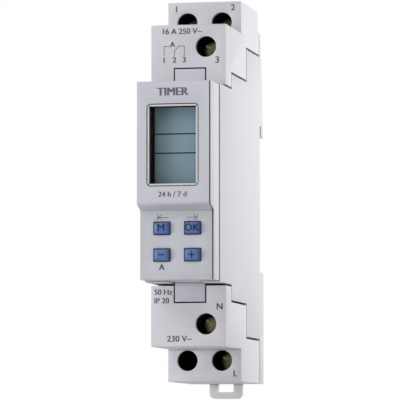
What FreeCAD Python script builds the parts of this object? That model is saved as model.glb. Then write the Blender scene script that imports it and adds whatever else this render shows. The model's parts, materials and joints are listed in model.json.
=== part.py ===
import FreeCAD, Part
import math
import os
import Sketcher

# One-module digital timer for a 35 mm DIN rail.
# Frame: +Z up, X across the module, the front looks along -Y.
# Origin: the middle of the rail seat, on the face that rests against the rail.

Vector = FreeCAD.Vector
doc = FreeCAD.newDocument("DinRailTimer")


# ---------------------------------------------------------------- driving sizes

SIZES = [
    # outer shape
    ("module_width", 17.6, "one module, outside"),
    ("cover_height", 45.0, "front cover, top to bottom"),
    ("terminal_height", 22.5, "how far each terminal housing reaches past the cover"),
    ("seat_to_display", 57.5, "rail seat to the display face"),
    ("key_setback", 3.5, "display face to key face"),
    ("collar_setback", 9.3, "display face to the rear edge of the cover"),
    ("near_setback", 15.7, "display face to the near terminal face"),
    ("near_tier_depth", 18.3, "near terminal face to far terminal face"),
    ("near_tier_drop", 7.65, "how far the near tier ends short of the far tier"),
    ("rail_depth", 4.4, "rail seat to the back of the housing"),
    ("side_wall", 0.8, "side walls of all the housings"),
    ("face_wall", 1.2, "front and end walls of the terminal housings"),
    ("rear_wall", 1.4, "main housing behind the boards"),
    ("part_gap", 0.5, "gap at the part lines"),
    ("contact_clearance", 0.05, "clearance between pieces that are pressed together"),
    # stepped part line between the housings
    ("line_rise", 0.3, "first tread above the end of the cover"),
    ("middle_rise", 3.6, "second tread above the first"),
    ("rear_rise", 7.85, "third tread above the second"),
    ("front_tread_run", 7.3, "first tread past the near terminal face"),
    ("middle_line", 16.7, "second riser to the rail seat"),
    ("rear_line", 0.7, "third riser to the rail seat"),
    ("cap_rear", 2.6, "rear of the upper far tier to the rail seat"),
    ("cap_notch", 5.0, "height of that rear step"),
    ("collar_strip", 1.0, "housing's end strip beside the cover"),
    ("cavity_step", 0.5, "housing cavity past the part lines"),
    # rail recess
    ("recess_top", 17.4, "top of the recess above the origin"),
    ("recess_bottom", 18.0, "bottom of the recess below the origin"),
    ("hook_slot", 1.4, "room for the rail flange behind the hook"),
    ("hook_lip", 2.5, "how far the hook reaches over the flange"),
    ("seat_relief", 0.15, "seat set back under the hook and the latch"),
    ("seat_edge", 0.2, "that relief past the hook and the latch tip"),
    ("block_back", 0.2, "upper rear block behind the rail seat"),
    ("back_slope_depth", 2.7, "foot of the rear slope behind the rail seat"),
    ("back_slope_drop", 9.5, "height of the rear slope"),
    ("hook_shoulder", 1.1, "hook shoulder above the recess"),
    ("hook_taper", 0.6, "depth of the shoulder's taper"),
    ("hook_nose", 0.7, "height of the hook's blunt nose"),
    ("foot_round", 0.4, "rounding of the lower rear block"),
    # front cover
    ("cover_width", 17.2, "front cover, outside"),
    ("cover_wall", 1.0, "cover side walls"),
    ("cover_plate", 1.5, "cover front plate"),
    ("slope_start", 5.5, "display face ends this far below the middle"),
    ("slope_rise", 1.2, "height of the slope down to the keys"),
    ("slope_round", 1.0, "rounding above the slope"),
    ("groove_width", 0.25, "shadow groove along the right edge of the front"),
    ("groove_depth", 0.5, "shadow groove"),
    ("groove_rib", 0.15, "shadow groove to the side of the cover"),
    ("tongue_width", 7.1, "snap tongue"),
    ("tongue_reach", 4.5, "snap tongue past the end of the cover"),
    ("tongue_thickness", 1.0, "snap tongue"),
    ("tongue_centre", 0.4, "snap tongue to the right of the middle"),
    ("tongue_gap", 0.3, "gap round the snap tongue"),
    ("tongue_slack", 0.4, "room behind the snap tongue"),
    ("cover_end", 1.2, "cover end walls"),
    ("arm_overlap", 1.0, "snap arm inside the cover"),
    ("arm_step", 0.1, "snap arm short of the end wall's inside"),
    # window and display
    ("window_centre", -0.3, "window left of the middle"),
    ("window_width", 12.1, "clear window"),
    ("window_height", 18.9, "clear window"),
    ("window_bottom", -1.5, "lower edge of the window"),
    ("window_rim", 0.55, "window edge to the opening"),
    ("window_round", 1.0, "window corner"),
    ("lens_thickness", 1.2, "clear window"),
    ("display_depth", 4.2, "display face to the glass"),
    ("glass_thickness", 1.8, "liquid crystal panel"),
    ("glass_margin", 1.2, "panel past the opening on each side"),
    ("display_board_depth", 9.0, "display face to the display board"),
    ("display_board_thickness", 1.0, "display board"),
    ("display_board_width", 14.8, "display board"),
    ("display_board_inset", 1.5, "display board short of the cover's ends"),
    ("glass_overlap", 1.5, "panel past the opening, above and below"),
    ("frame_side", 0.5, "display frame beside the panel"),
    ("frame_end", 0.8, "display frame above and below the panel"),
    ("diffuser_thickness", 1.2, "diffuser"),
    ("diffuser_inset", 0.6, "diffuser short of the opening"),
    ("strip_height", 1.4, "contact strip"),
    # keys
    ("key_width", 3.8, "key cap"),
    ("key_height", 2.85, "key cap"),
    ("key_proud", 1.2, "key cap in front of the key face"),
    ("key_clearance", 0.1, "key cap in its hole"),
    ("key_travel", 0.5, "key stroke"),
    ("key_column_left", -3.5, "left column"),
    ("key_column_right", 3.65, "right column"),
    ("key_row_top", -10.8, "top row"),
    ("key_row_bottom", -16.9, "bottom row"),
    ("key_flange", 0.5, "flange past the cap on each side"),
    ("key_flange_thickness", 0.6, "flange"),
    ("key_float", 0.1, "flange to the inside of the cover at rest"),
    ("key_round", 0.35, "corner of the cap"),
    ("stem_margin", 0.25, "key stem past the plunger"),
    ("switch_width", 3.4, "push switch body"),
    ("switch_length", 3.0, "push switch body, along Z"),
    ("plunger_clearance", 0.1, "plunger in its well"),
    ("plunger_sunk", 0.6, "plunger inside the switch body"),
    ("well_depth", 1.3, "well of the plunger"),
    ("switch_height", 1.6, "push switch body"),
    ("plunger_radius", 0.75, "push switch plunger"),
    ("plunger_proud", 0.8, "plunger in front of the switch body"),
    # clamps
    ("driver_radius", 2.45, "screwdriver hole"),
    ("head_radius", 2.25, "screw head"),
    ("head_height", 1.3, "screw head"),
    ("head_pocket", 0.3, "pocket round the head, past the screwdriver hole"),
    ("pocket_front", 1.3, "pocket in front of the head"),
    ("drive_width", 0.7, "cross and slot drive"),
    ("drive_depth", 0.8, "cross and slot drive"),
    ("drive_share", 0.85, "length of the drive, as a share of the head"),
    ("thread_radius", 1.7, "screw thread, M3.5"),
    ("thread_clearance", 0.05, "screw thread in the cage"),
    ("shank_gap", 0.1, "end of the screw to the bar"),
    ("clamp_gap", 0.15, "axial clearance in the clamp"),
    ("clamp_travel", 2.7, "cage stroke"),
    ("cage_plate", 1.0, "threaded wall of the cage"),
    ("cage_floor", 0.8, "clamping wall of the cage"),
    ("cage_side", 0.75, "side walls of the cage"),
    ("cage_length", 5.0, "cage along the wire"),
    ("bar_thickness", 0.8, "terminal bar"),
    ("bar_clearance", 0.15, "bar to the sides of the cage"),
    ("bar_seat", 0.05, "bar in its slot"),
    ("left_tail", 2.0, "left bar's tail, along Z"),
    ("left_tail_drop", 0.1, "left tail above the edge of the board"),
    ("right_tail", 1.6, "right bar's tail, along Z"),
    ("right_tail_drop", 2.6, "right tail below the part line"),
    ("wire_space", 2.9, "bar to clamping wall, fully open"),
    ("wire_radius", 2.2, "wire entry hole"),
    ("wire_margin", 0.55, "wire entry hole to the far terminal face"),
    ("bay_clearance", 0.3, "cage to the walls of its bay"),
    ("centre_rib", 1.8, "rib between the two columns of clamps"),
    ("carrier_wall", 0.55, "terminal carrier outside a bay"),
    ("floor_wall", 1.0, "terminal carrier behind a bay"),
    ("shell_overlap", 1.0, "shell cavity past the part lines"),
    ("pit_depth", 2.0, "spare hole past the level of the screw heads"),
    ("end_round", 0.25, "front edges of the terminal housings"),
    ("screw_inset", 4.95, "far screws below the end of the housing"),
    ("near_screw_inset", 5.2, "near screws below the end of the near tier"),
    # boards and what they carry
    ("board_thickness", 1.6, "main board"),
    ("board_offset", 1.0, "side wall to the main board"),
    ("board_clearance", 0.4, "main board to the part lines"),
    ("board_front_drop", 1.8, "front part of the main board below the part line"),
    ("chip_size", 7.0, "microcontroller, square"),
    ("chip_height", 1.4, "microcontroller"),
    ("chip_x", 0.6, "middle of the microcontroller"),
    ("chip_z", 6.0, "middle of the microcontroller"),
    ("crystal_radius", 1.0, "clock crystal"),
    ("crystal_length", 5.0, "clock crystal"),
    ("crystal_x", 4.6, "clock crystal"),
    ("crystal_z", -3.0, "lower end of the clock crystal"),
    ("header_width", 2.55, "board connector"),
    ("header_depth", 4.5, "board connector"),
    ("header_length", 12.0, "board connector"),
    ("header_z", -7.0, "middle of the board connector"),
    ("supply_start", 2.0, "capacitors behind the first riser"),
    ("mains_capacitor_width", 9.5, "mains capacitor off the board"),
    ("mains_capacitor_depth", 10.0, "mains capacitor"),
    ("mains_capacitor_top", -5.0, "mains capacitor"),
    ("mains_capacitor_length", 16.0, "mains capacitor"),
    ("can_radius", 4.0, "smoothing capacitor"),
    ("can_lift", 0.2, "smoothing capacitor off the board"),
    ("can_length", 12.0, "smoothing capacitor"),
    ("can_z", 2.0, "smoothing capacitor"),
    ("varistor_radius", 4.2, "varistor"),
    ("varistor_thickness", 3.2, "varistor"),
    ("varistor_y", -10.0, "middle of the varistor"),
    ("varistor_z", -25.0, "middle of the varistor"),
    ("resistor_radius", 1.5, "fusible resistor"),
    ("resistor_lift", 0.2, "fusible resistor off the board"),
    ("resistor_ahead", 3.0, "fusible resistor in front of the first riser"),
    ("resistor_low", 6.0, "lower end of the fusible resistor"),
    ("resistor_length", 9.0, "fusible resistor"),
    ("bridge_height", 1.8, "bridge rectifier off the board"),
    ("bridge_width", 4.4, "bridge rectifier"),
    ("bridge_length", 4.8, "bridge rectifier"),
    ("bridge_ahead", 6.0, "bridge rectifier in front of the first riser"),
    ("bridge_z", -14.0, "middle of the bridge rectifier"),
    ("cell_radius", 5.2, "reserve cell"),
    ("cell_thickness", 2.2, "reserve cell"),
    ("cell_y", -24.5, "middle of the reserve cell"),
    ("cell_z", 15.5, "middle of the reserve cell"),
    ("tab_foot", 0.6, "cell tab under the cell"),
    ("tab_cap", 0.3, "cell tab over the cell"),
    ("tab_width", 2.2, "cell tabs"),
    ("tab_length", 8.0, "cell tabs"),
    # changeover relay
    ("relay_base_height", 1.2, "relay base off the board"),
    ("relay_height", 12.0, "relay off the board"),
    ("relay_front", -15.6, "front of the relay"),
    ("relay_rear", -3.2, "rear of the relay"),
    ("relay_low", -4.0, "lower end of the relay"),
    ("relay_high", 24.5, "upper end of the relay"),
    ("case_wall", 0.5, "relay case"),
    ("core_radius", 1.5, "relay core"),
    ("core_height", 5.2, "relay core above the base"),
    ("core_foot", 1.6, "core past the lower flange"),
    ("core_tip", 1.75, "core past the upper flange"),
    ("coil_low", -1.0, "lower flange of the bobbin"),
    ("coil_high", 12.0, "upper flange of the bobbin"),
    ("bobbin_tube", 0.6, "wall of the bobbin's tube"),
    ("bobbin_flange", 0.8, "bobbin flange"),
    ("bobbin_width", 7.2, "bobbin flange, across"),
    ("bobbin_depth", 8.4, "bobbin flange, front to back"),
    ("bobbin_fit", 0.02, "core in the bobbin and the yoke"),
    ("coil_radius", 3.3, "winding"),
    ("coil_gap", 0.05, "winding to the bobbin"),
    ("yoke_lift", 0.3, "yoke off the base"),
    ("yoke_side", 1.0, "yoke's long leg"),
    ("yoke_foot", 1.4, "yoke's short leg"),
    ("yoke_reach", 2.5, "yoke past the core"),
    ("yoke_width", 7.0, "yoke"),
    ("yoke_gap", 0.1, "yoke to the bobbin"),
    ("pivot_lift", 0.8, "armature pivot off the base"),
    ("pivot_z", 13.9, "armature pivot"),
    ("pivot_gap", 0.25, "yoke's long leg to the pivot"),
    ("armature_short", 1.7, "end of the armature to the case"),
    ("armature_width", 6.4, "armature"),
    ("armature_thickness", 0.9, "armature"),
    ("card_thickness", 1.0, "pusher card"),
    ("card_width", 3.4, "pusher card"),
    ("card_gap", 0.95, "pusher card to the level of the blade"),
    ("blade_z", 18.6, "contact blade"),
    ("blade_thickness", 0.3, "contact blade"),
    ("blade_width", 4.0, "contact blade"),
    ("blade_lift", 0.3, "contact blade off the base"),
    ("blade_short", 1.6, "end of the blade to the case"),
    ("rivet_radius", 1.2, "contact rivet of the blade"),
    ("rivet_proud", 0.4, "contact rivet on each side of the blade"),
    ("contact_inset", 4.8, "contacts to the top of the case"),
    ("contact_gap", 0.6, "open contact"),
    ("contact_rest_gap", 0.06, "closed contact, so that the pieces stay apart"),
    ("contact_radius", 1.1, "fixed contact"),
    ("contact_height", 0.4, "fixed contact"),
    ("spring_bar", 0.5, "bar of a fixed contact"),
    ("spring_bar_lap", 0.3, "fixed contact in front of its bar"),
    ("spring_bar_half", 1.4, "half the width of that bar"),
    ("spring_bar_front", 3.9, "that bar in front of the middle"),
    ("spring_bar_rear", 1.6, "that bar behind the middle"),
    ("leg_front", 4.6, "leg of a fixed contact in front of the middle"),
    ("leg_thickness", 0.8, "leg of a fixed contact"),
    # rail latch
    ("latch_width", 8.0, "latch plate"),
    ("latch_thickness", 2.0, "latch plate"),
    ("latch_clearance", 0.2, "latch plate in its channel"),
    ("latch_tip", 2.8, "latch tip above the lower edge of the recess"),
    ("latch_tail", 3.6, "latch loop below the housing"),
    ("latch_travel", 3.6, "latch stroke"),
    ("loop_width", 3.9, "window of the loop"),
    ("loop_rim", 1.6, "lower rim of the loop"),
    ("loop_height", 3.9, "window of the loop"),
    ("loop_round", 0.5, "corners of the loop's window"),
    ("tail_round", 1.4, "lower corners of the latch"),
    ("tip_bevel", 1.2, "bevel behind the latch tip"),
    ("flange_play", 0.1, "latch in front of the rear edge of the rail flange"),
    ("latch_lug", 0.9, "room for a lug beside the plate"),
    ("lug_play", 0.1, "lug short of its room"),
    ("lug_height", 3.0, "lug"),
    ("lug_drop", 5.0, "lugs below the recess"),
    ("lug_rest", 0.15, "room above the lugs at rest"),
    ("lug_stop", 0.3, "room below the lugs at full stroke"),
    ("spring_window", 2.6, "latch window, width"),
    ("spring_window_drop", 10.0, "latch window below the recess"),
    ("spring_room", 12.0, "latch window for the spring"),
    ("spring_wire", 0.3, "spring wire"),
    ("spring_radius", 0.8, "spring, to the middle of the wire"),
    ("peg_size", 2.0, "spring peg, width and height"),
    ("peg_gap", 0.4, "spring peg above the latch window's edge"),
    ("peg_short", 0.3, "spring peg short of the latch's rear"),
]


class Size:
    """A number in millimetres with the spreadsheet formula that gives it."""

    def __init__(self, value, formula=None):
        self.value = float(value)
        self.formula = formula or f"({float(value)!r})"

    def __add__(self, other):
        other = as_size(other)
        return Size(self.value + other.value, f"({self.formula} + {other.formula})")

    def __sub__(self, other):
        other = as_size(other)
        return Size(self.value - other.value, f"({self.formula} - {other.formula})")

    def __mul__(self, other):
        other = as_size(other)
        return Size(self.value * other.value, f"({self.formula} * {other.formula})")

    def __truediv__(self, other):
        other = as_size(other)
        return Size(self.value / other.value, f"({self.formula} / {other.formula})")

    def __radd__(self, other):
        return as_size(other) + self

    def __rsub__(self, other):
        return as_size(other) - self

    def __rmul__(self, other):
        return as_size(other) * self

    def __neg__(self):
        return self * -1


def as_size(number):
    return number if isinstance(number, Size) else Size(number)


class Sheet:
    """The spreadsheet, read as attributes: d.module_width is a Size."""

    def __init__(self, rows):
        self.page = doc.addObject("Spreadsheet::Sheet", "Sizes")
        for row, (name, value, note) in enumerate(rows, start=1):
            self.page.set(f"A{row}", name)
            self.page.set(f"B{row}", str(value))
            self.page.set(f"C{row}", note)
            self.page.setAlias(f"B{row}", name)
            setattr(self, name, Size(value, f"Sizes.{name}"))
        doc.recompute()


d = Sheet(SIZES)


# ---------------------------------------------------------------- drawing helpers

NODES = {}
PLANE_OF = {"x": "YZ_Plane", "y": "XZ_Plane", "z": "XY_Plane"}
SIGN_OF = {"x": 1, "y": -1, "z": 1}


def node(label, thing):
    """Name a finished piece, so that it is checked and written out."""
    thing.Label = label
    NODES[label] = thing
    return thing


class Moulding:
    """A PartDesign body that is padded and pocketed along the three axes."""

    def __init__(self, label):
        self.body = doc.addObject("PartDesign::Body", label + "_body")
        self.count = 0
        node(label, self.body)

    def _sketch(self, axis, start, draw):
        self.count += 1
        sketch = self.body.newObject("Sketcher::SketchObject", f"{self.body.Name}_s{self.count}")
        plane = [p for p in self.body.Origin.OriginFeatures if p.Role == PLANE_OF[axis]][0]
        sketch.AttachmentSupport = [(plane, "")]
        sketch.MapMode = "FlatFace"
        sketch.setExpression("AttachmentOffset.Base.z", (start * SIGN_OF[axis]).formula)
        draw(sketch)
        return sketch

    def _feature(self, kind, axis, low, high, draw):
        low, high = as_size(low), as_size(high)
        ahead = SIGN_OF[axis] > 0
        adds = kind == "Pad"
        start = low if ahead == adds else high
        sketch = self._sketch(axis, start, draw)
        feature = self.body.newObject(f"PartDesign::{kind}", f"{sketch.Name}_{kind.lower()}")
        feature.Profile = sketch
        feature.setExpression("Length", (high - low).formula)
        sketch.Visibility = False
        return feature

    def pad(self, axis, low, high, draw):
        return self._feature("Pad", axis, low, high, draw)

    def pocket(self, axis, low, high, draw):
        return self._feature("Pocket", axis, low, high, draw)

    def round_edges(self, axis, radius, corners):
        """Fillet the straight edges along an axis that pass through the corners given."""
        doc.recompute()
        base = self.body.Tip
        names = edges_along(base.Shape, axis, corners)
        fillet = self.body.newObject("PartDesign::Fillet", f"{base.Name}_round")
        fillet.Base = (base, names)
        fillet.setExpression("Radius", as_size(radius).formula)
        return fillet


def edges_along(shape, axis, corners):
    """Names of the straight edges along an axis through the given (first, second) corners."""
    along = "xyz".index(axis)
    first, second = [i for i in range(3) if i != along]
    names = []
    for number, edge in enumerate(shape.Edges, start=1):
        if not isinstance(edge.Curve, Part.Line):
            continue
        a, b = edge.Vertexes[0].Point, edge.Vertexes[-1].Point
        if abs(a[first] - b[first]) > 1e-6 or abs(a[second] - b[second]) > 1e-6:
            continue
        for u, v in corners:
            if abs(a[first] - as_size(u).value) < 1e-4 and abs(a[second] - as_size(v).value) < 1e-4:
                names.append(f"Edge{number}")
    if not names:
        raise RuntimeError(f"no edge to round along {axis}")
    return names


def polygon(*points):
    """A closed outline through points given as pairs of sizes."""
    points = [(as_size(u), as_size(v)) for u, v in points]

    def draw(sketch):
        first = sketch.GeometryCount
        count = len(points)
        for i, (u, v) in enumerate(points):
            next_u, next_v = points[(i + 1) % count]
            line = Part.LineSegment(Vector(u.value, v.value, 0), Vector(next_u.value, next_v.value, 0))
            sketch.addGeometry(line, False)
        for i in range(count):
            after = first + (i + 1) % count
            sketch.addConstraint(Sketcher.Constraint("Coincident", first + i, 2, after, 1))
        for i, (u, v) in enumerate(points):
            place_point(sketch, first + i, 1, u, v)

    return draw


def place_point(sketch, geometry, point, u, v):
    """Tie one point of a sketch to its two coordinates."""
    for kind, size, axis in (("DistanceX", u, -2), ("DistanceY", v, -1)):
        if abs(size.value) < 1e-9:
            sketch.addConstraint(Sketcher.Constraint("PointOnObject", geometry, point, axis))
        else:
            rule = Sketcher.Constraint(kind, -1, 1, geometry, point, size.value)
            index = sketch.addConstraint(rule)
            sketch.setExpression(f"Constraints[{index}]", size.formula)


def rectangle(u, v):
    """An outline from two (low, high) pairs."""
    return polygon((u[0], v[0]), (u[1], v[0]), (u[1], v[1]), (u[0], v[1]))


def circle(u, v, radius):
    """A circle at a centre given by two sizes."""
    u, v, radius = as_size(u), as_size(v), as_size(radius)

    def draw(sketch):
        centre = Vector(u.value, v.value, 0)
        sketch.addGeometry(Part.Circle(centre, Vector(0, 0, 1), radius.value), False)
        index = sketch.addConstraint(Sketcher.Constraint("Radius", 0, radius.value))
        sketch.setExpression(f"Constraints[{index}]", radius.formula)
        place_point(sketch, 0, 3, u, v)

    return draw


def middle(centre, width):
    """A (low, high) pair about a centre."""
    return as_size(centre) - as_size(width) / 2, as_size(centre) + as_size(width) / 2


def ordered(a, b):
    a, b = as_size(a), as_size(b)
    return (a, b) if a.value < b.value else (b, a)


serial = iter(range(1, 10000))


def block(x, y, z):
    """A Part::Box from three (low, high) pairs."""
    box = doc.addObject("Part::Box", f"block_{next(serial)}")
    for letter, length, (low, high) in (("x", "Length", x), ("y", "Width", y), ("z", "Height", z)):
        box.setExpression(length, (as_size(high) - low).formula)
        box.setExpression(f"Placement.Base.{letter}", as_size(low).formula)
    return box


def rod(axis, centre, radius, span):
    """A Part::Cylinder along an axis: centre holds the two other coordinates."""
    shape = doc.addObject("Part::Cylinder", f"rod_{next(serial)}")
    shape.setExpression("Radius", as_size(radius).formula)
    shape.setExpression("Height", (as_size(span[1]) - span[0]).formula)
    turn = {"x": (Vector(0, 1, 0), 90), "y": (Vector(1, 0, 0), -90), "z": (Vector(0, 0, 1), 0)}[axis]
    shape.Placement = FreeCAD.Placement(Vector(0, 0, 0), FreeCAD.Rotation(*turn))
    others = [letter for letter in "xyz" if letter != axis]
    shape.setExpression(f"Placement.Base.{axis}", as_size(span[0]).formula)
    for letter, value in zip(others, centre):
        shape.setExpression(f"Placement.Base.{letter}", as_size(value).formula)
    return shape


def cut(base, *tools):
    for tool in tools:
        result = doc.addObject("Part::Cut", f"cut_{next(serial)}")
        result.Base = base
        result.Tool = tool
        base = result
    return base


def join(*shapes):
    result = doc.addObject("Part::MultiFuse", f"join_{next(serial)}")
    result.Shapes = list(shapes)
    return result


def group(*shapes):
    result = doc.addObject("Part::Compound", f"group_{next(serial)}")
    result.Links = list(shapes)
    return result


# ---------------------------------------------------------------- shared places

half_width = d.module_width / 2
inner_half = half_width - d.side_wall
cover_half = d.cover_height / 2
end_z = cover_half + d.terminal_height
near_end_z = end_z - d.near_tier_drop

display_y = -d.seat_to_display
key_y = display_y + d.key_setback
collar_y = display_y + d.collar_setback
near_y = display_y + d.near_setback
far_y = near_y + d.near_tier_depth
back_y = d.rail_depth

tread_front_z = cover_half + d.line_rise
tread_middle_z = tread_front_z + d.middle_rise
tread_rear_z = tread_middle_z + d.rear_rise
riser_front_y = near_y + d.front_tread_run
riser_middle_y = -d.middle_line
riser_rear_y = -d.rear_line

board_face_x = -inner_half + d.board_offset + d.board_thickness
board_back_x = board_face_x - d.board_thickness
glass_y = display_y + d.display_depth
display_board_y = display_y + d.display_board_depth
display_board_back_y = display_board_y + d.display_board_thickness
tongue = middle(d.tongue_centre, d.tongue_width)
FULL = (-half_width, half_width)
# How far a cutter runs past what it cuts.
OVER = 0.5

# The rail latch, whose channel is in the main housing.
latch_y = (d.hook_slot - d.flange_play, d.hook_slot - d.flange_play + d.latch_thickness)
latch_top_z = -d.recess_bottom + d.latch_tip
latch_bottom_z = -end_z - d.latch_tail
lug_top_z = -d.recess_bottom - d.lug_drop
lug_slot_z = (lug_top_z - d.lug_height - d.latch_travel - d.lug_stop, lug_top_z + d.lug_rest)
latch_window_top = -d.recess_bottom - d.spring_window_drop
latch_window_z = (latch_window_top - d.spring_room, latch_window_top)
spring_bottom_z = latch_window_z[0] + d.peg_gap + d.peg_size

# The clamps of one tier, counted back from the middle of the wire.
far_floor_y = -d.cap_rear - d.floor_wall
far_wire_y = far_floor_y - d.bay_clearance - d.cage_floor - d.wire_space / 2
near_wire_y = far_y - d.wire_margin - d.wire_radius
bay_half = (inner_half - d.contact_clearance - d.carrier_wall - d.centre_rib / 2) / 2
clamp_x = d.centre_rib / 2 + bay_half
cage_half = bay_half - d.bay_clearance
bar_half = cage_half - d.cage_side - d.bar_clearance
far_clamp_z = end_z - d.screw_inset
near_clamp_z = near_end_z - d.near_screw_inset


class Clamp:
    """Where the pieces of one screw terminal lie along its screw."""

    def __init__(self, name, x, side, near):
        self.name, self.x, self.side, self.near = name, x, side, near
        self.z = (near_clamp_z if near else far_clamp_z) * side
        self.wire_y = near_wire_y if near else far_wire_y
        self.face_y = near_y if near else far_y
        self.bar = (self.wire_y - d.wire_space / 2 - d.bar_thickness, self.wire_y - d.wire_space / 2)
        self.plate_front = self.bar[0] - d.clamp_gap - d.cage_plate
        self.head_back = self.plate_front - d.clamp_travel - d.clamp_gap
        self.head_front = self.head_back - d.head_height
        self.hole_back = self.head_front - d.pocket_front
        self.cage_back = self.wire_y + d.wire_space / 2 + d.cage_floor
        self.bay_back = self.cage_back + d.bay_clearance
        self.outer_z = (near_end_z if near else end_z) * side

    def span_z(self, extra=0.0):
        half = d.cage_length / 2 + extra
        return self.z - half, self.z + half


CLAMPS = [
    Clamp("1", -clamp_x, 1, False),
    Clamp("2", clamp_x, 1, False),
    Clamp("3", clamp_x, 1, True),
    Clamp("n", clamp_x, -1, True),
    Clamp("l", clamp_x, -1, False),
]
SPARE = Clamp("spare", -clamp_x, -1, False)


# ---------------------------------------------------------------- main housing

def main_housing():
    """Side walls, rear wall, rail hook and the lower rear block in one moulding."""
    notch_floor_z = end_z - d.cap_notch
    lip_z = d.recess_top - d.hook_lip
    outer = [
        (collar_y, tread_front_z), (riser_front_y, tread_front_z),
        (riser_front_y, tread_middle_z), (riser_middle_y, tread_middle_z),
        (riser_middle_y, tread_rear_z), (riser_rear_y, tread_rear_z),
        (riser_rear_y, notch_floor_z), (d.block_back, notch_floor_z),
        (d.back_slope_depth, notch_floor_z - d.back_slope_drop),
        (back_y - d.hook_taper, d.recess_top + d.hook_shoulder),
        (back_y, lip_z + d.hook_nose), (back_y, lip_z), (d.hook_slot, lip_z), (d.hook_slot, d.recess_top),
        (-d.seat_relief, d.recess_top), (-d.seat_relief, lip_z - d.seat_edge),
        (0, lip_z - d.seat_edge), (0, latch_top_z + d.seat_edge),
        (-d.seat_relief, latch_top_z + d.seat_edge), (-d.seat_relief, -d.recess_bottom),
        (back_y, -d.recess_bottom), (back_y, -end_z),
        (riser_rear_y, -end_z), (riser_rear_y, -tread_rear_z),
        (riser_middle_y, -tread_rear_z), (riser_middle_y, -tread_middle_z),
        (riser_front_y, -tread_middle_z), (riser_front_y, -tread_front_z),
        (collar_y, -tread_front_z),
    ]
    collar_z = tread_front_z - d.collar_strip
    middle_z = tread_middle_z + d.cavity_step
    rear_z = tread_rear_z + d.cavity_step
    inner = [
        (collar_y - OVER, collar_z), (riser_front_y, collar_z),
        (riser_front_y, middle_z), (riser_middle_y, middle_z),
        (riser_middle_y, rear_z), (-d.rear_wall, rear_z),
        (-d.rear_wall, -rear_z), (riser_middle_y, -rear_z),
        (riser_middle_y, -middle_z), (riser_front_y, -middle_z),
        (riser_front_y, -collar_z), (collar_y - OVER, -collar_z),
    ]
    housing = Moulding("main_housing")
    housing.pad("x", *FULL, polygon(*outer))
    housing.pocket("x", -inner_half, inner_half, polygon(*inner))
    notch = (tongue[0] - d.tongue_gap, tongue[1] + d.tongue_gap)
    for side in (1, -1):
        notch_z = ordered((collar_z - OVER) * side, (tread_front_z + OVER) * side)
        notch_back = near_y + d.tongue_thickness + d.tongue_slack
        housing.pocket("y", collar_y - OVER, notch_back, rectangle(notch, notch_z))

    channel_y = (latch_y[0] - d.latch_clearance, latch_y[1] + d.latch_clearance)
    channel_half = d.latch_width / 2 + d.latch_clearance
    channel_z = (-end_z - OVER, -d.recess_bottom + OVER)
    housing.pocket("y", *channel_y, rectangle((-channel_half, channel_half), channel_z))
    slot_half = channel_half + d.latch_lug
    housing.pocket("y", *channel_y, rectangle((-slot_half, slot_half), lug_slot_z))
    peg_z = (spring_bottom_z - d.peg_size, spring_bottom_z)
    peg_y = (channel_y[0] - d.latch_clearance, latch_y[1] - d.peg_short)
    housing.pad("y", *peg_y, rectangle(middle(0, d.peg_size), peg_z))
    housing.round_edges("x", d.foot_round, [(back_y, -end_z), (back_y, -d.recess_bottom)])


def rail_latch():
    """Spring-loaded plate behind the lower rail flange, with a loop for a screwdriver."""
    latch = Moulding("rail_latch")
    half = d.latch_width / 2
    outline = rectangle((-half, half), (latch_bottom_z, latch_top_z))
    latch.pad("y", *latch_y, outline)
    lug_half = half + d.latch_lug - d.lug_play
    latch.pad("y", *latch_y, rectangle((-lug_half, lug_half), (lug_top_z - d.lug_height, lug_top_z)))
    through = (latch_y[0] - OVER, latch_y[1] + OVER)
    latch.pocket("y", *through, rectangle(middle(0, d.spring_window), latch_window_z))
    loop_z = (latch_bottom_z + d.loop_rim, latch_bottom_z + d.loop_rim + d.loop_height)
    latch.pocket("y", *through, rectangle(middle(0, d.loop_width), loop_z))
    reach = d.tip_bevel + OVER
    corner = polygon((latch_y[1] + OVER, latch_top_z + OVER), (latch_y[1] + OVER, latch_top_z - reach),
                     (latch_y[1] - reach, latch_top_z + OVER))
    latch.pocket("x", -half - OVER, half + OVER, corner)
    latch.round_edges("y", d.tail_round, [(-half, latch_bottom_z), (half, latch_bottom_z)])
    loop_corners = [(s * d.loop_width / 2, z) for s in (-1, 1) for z in loop_z]
    latch.round_edges("y", d.loop_round, loop_corners)


def latch_spring():
    """Compression spring between the housing's peg and the top of the latch window."""
    low = spring_bottom_z.value + d.spring_wire.value / 2
    high = latch_window_top.value - d.spring_wire.value / 2
    turns = 8
    helix = Part.makeHelix((high - low) / turns, high - low, d.spring_radius.value)
    ring = Part.Circle(Vector(d.spring_radius.value, 0, 0), Vector(0, 1, 0), d.spring_wire.value / 2)
    wire = Part.Wire(helix.Edges)
    solid = wire.makePipeShell([Part.Wire([ring.toShape()])], True, True)
    centre_y = (latch_y[0].value + latch_y[1].value) / 2
    spring = doc.addObject("Part::Feature", "spring_shape")
    spring.Shape = solid
    spring.Placement = FreeCAD.Placement(Vector(0, centre_y, low), FreeCAD.Rotation())
    node("latch_spring", spring)


# ---------------------------------------------------------------- terminal housings

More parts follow.
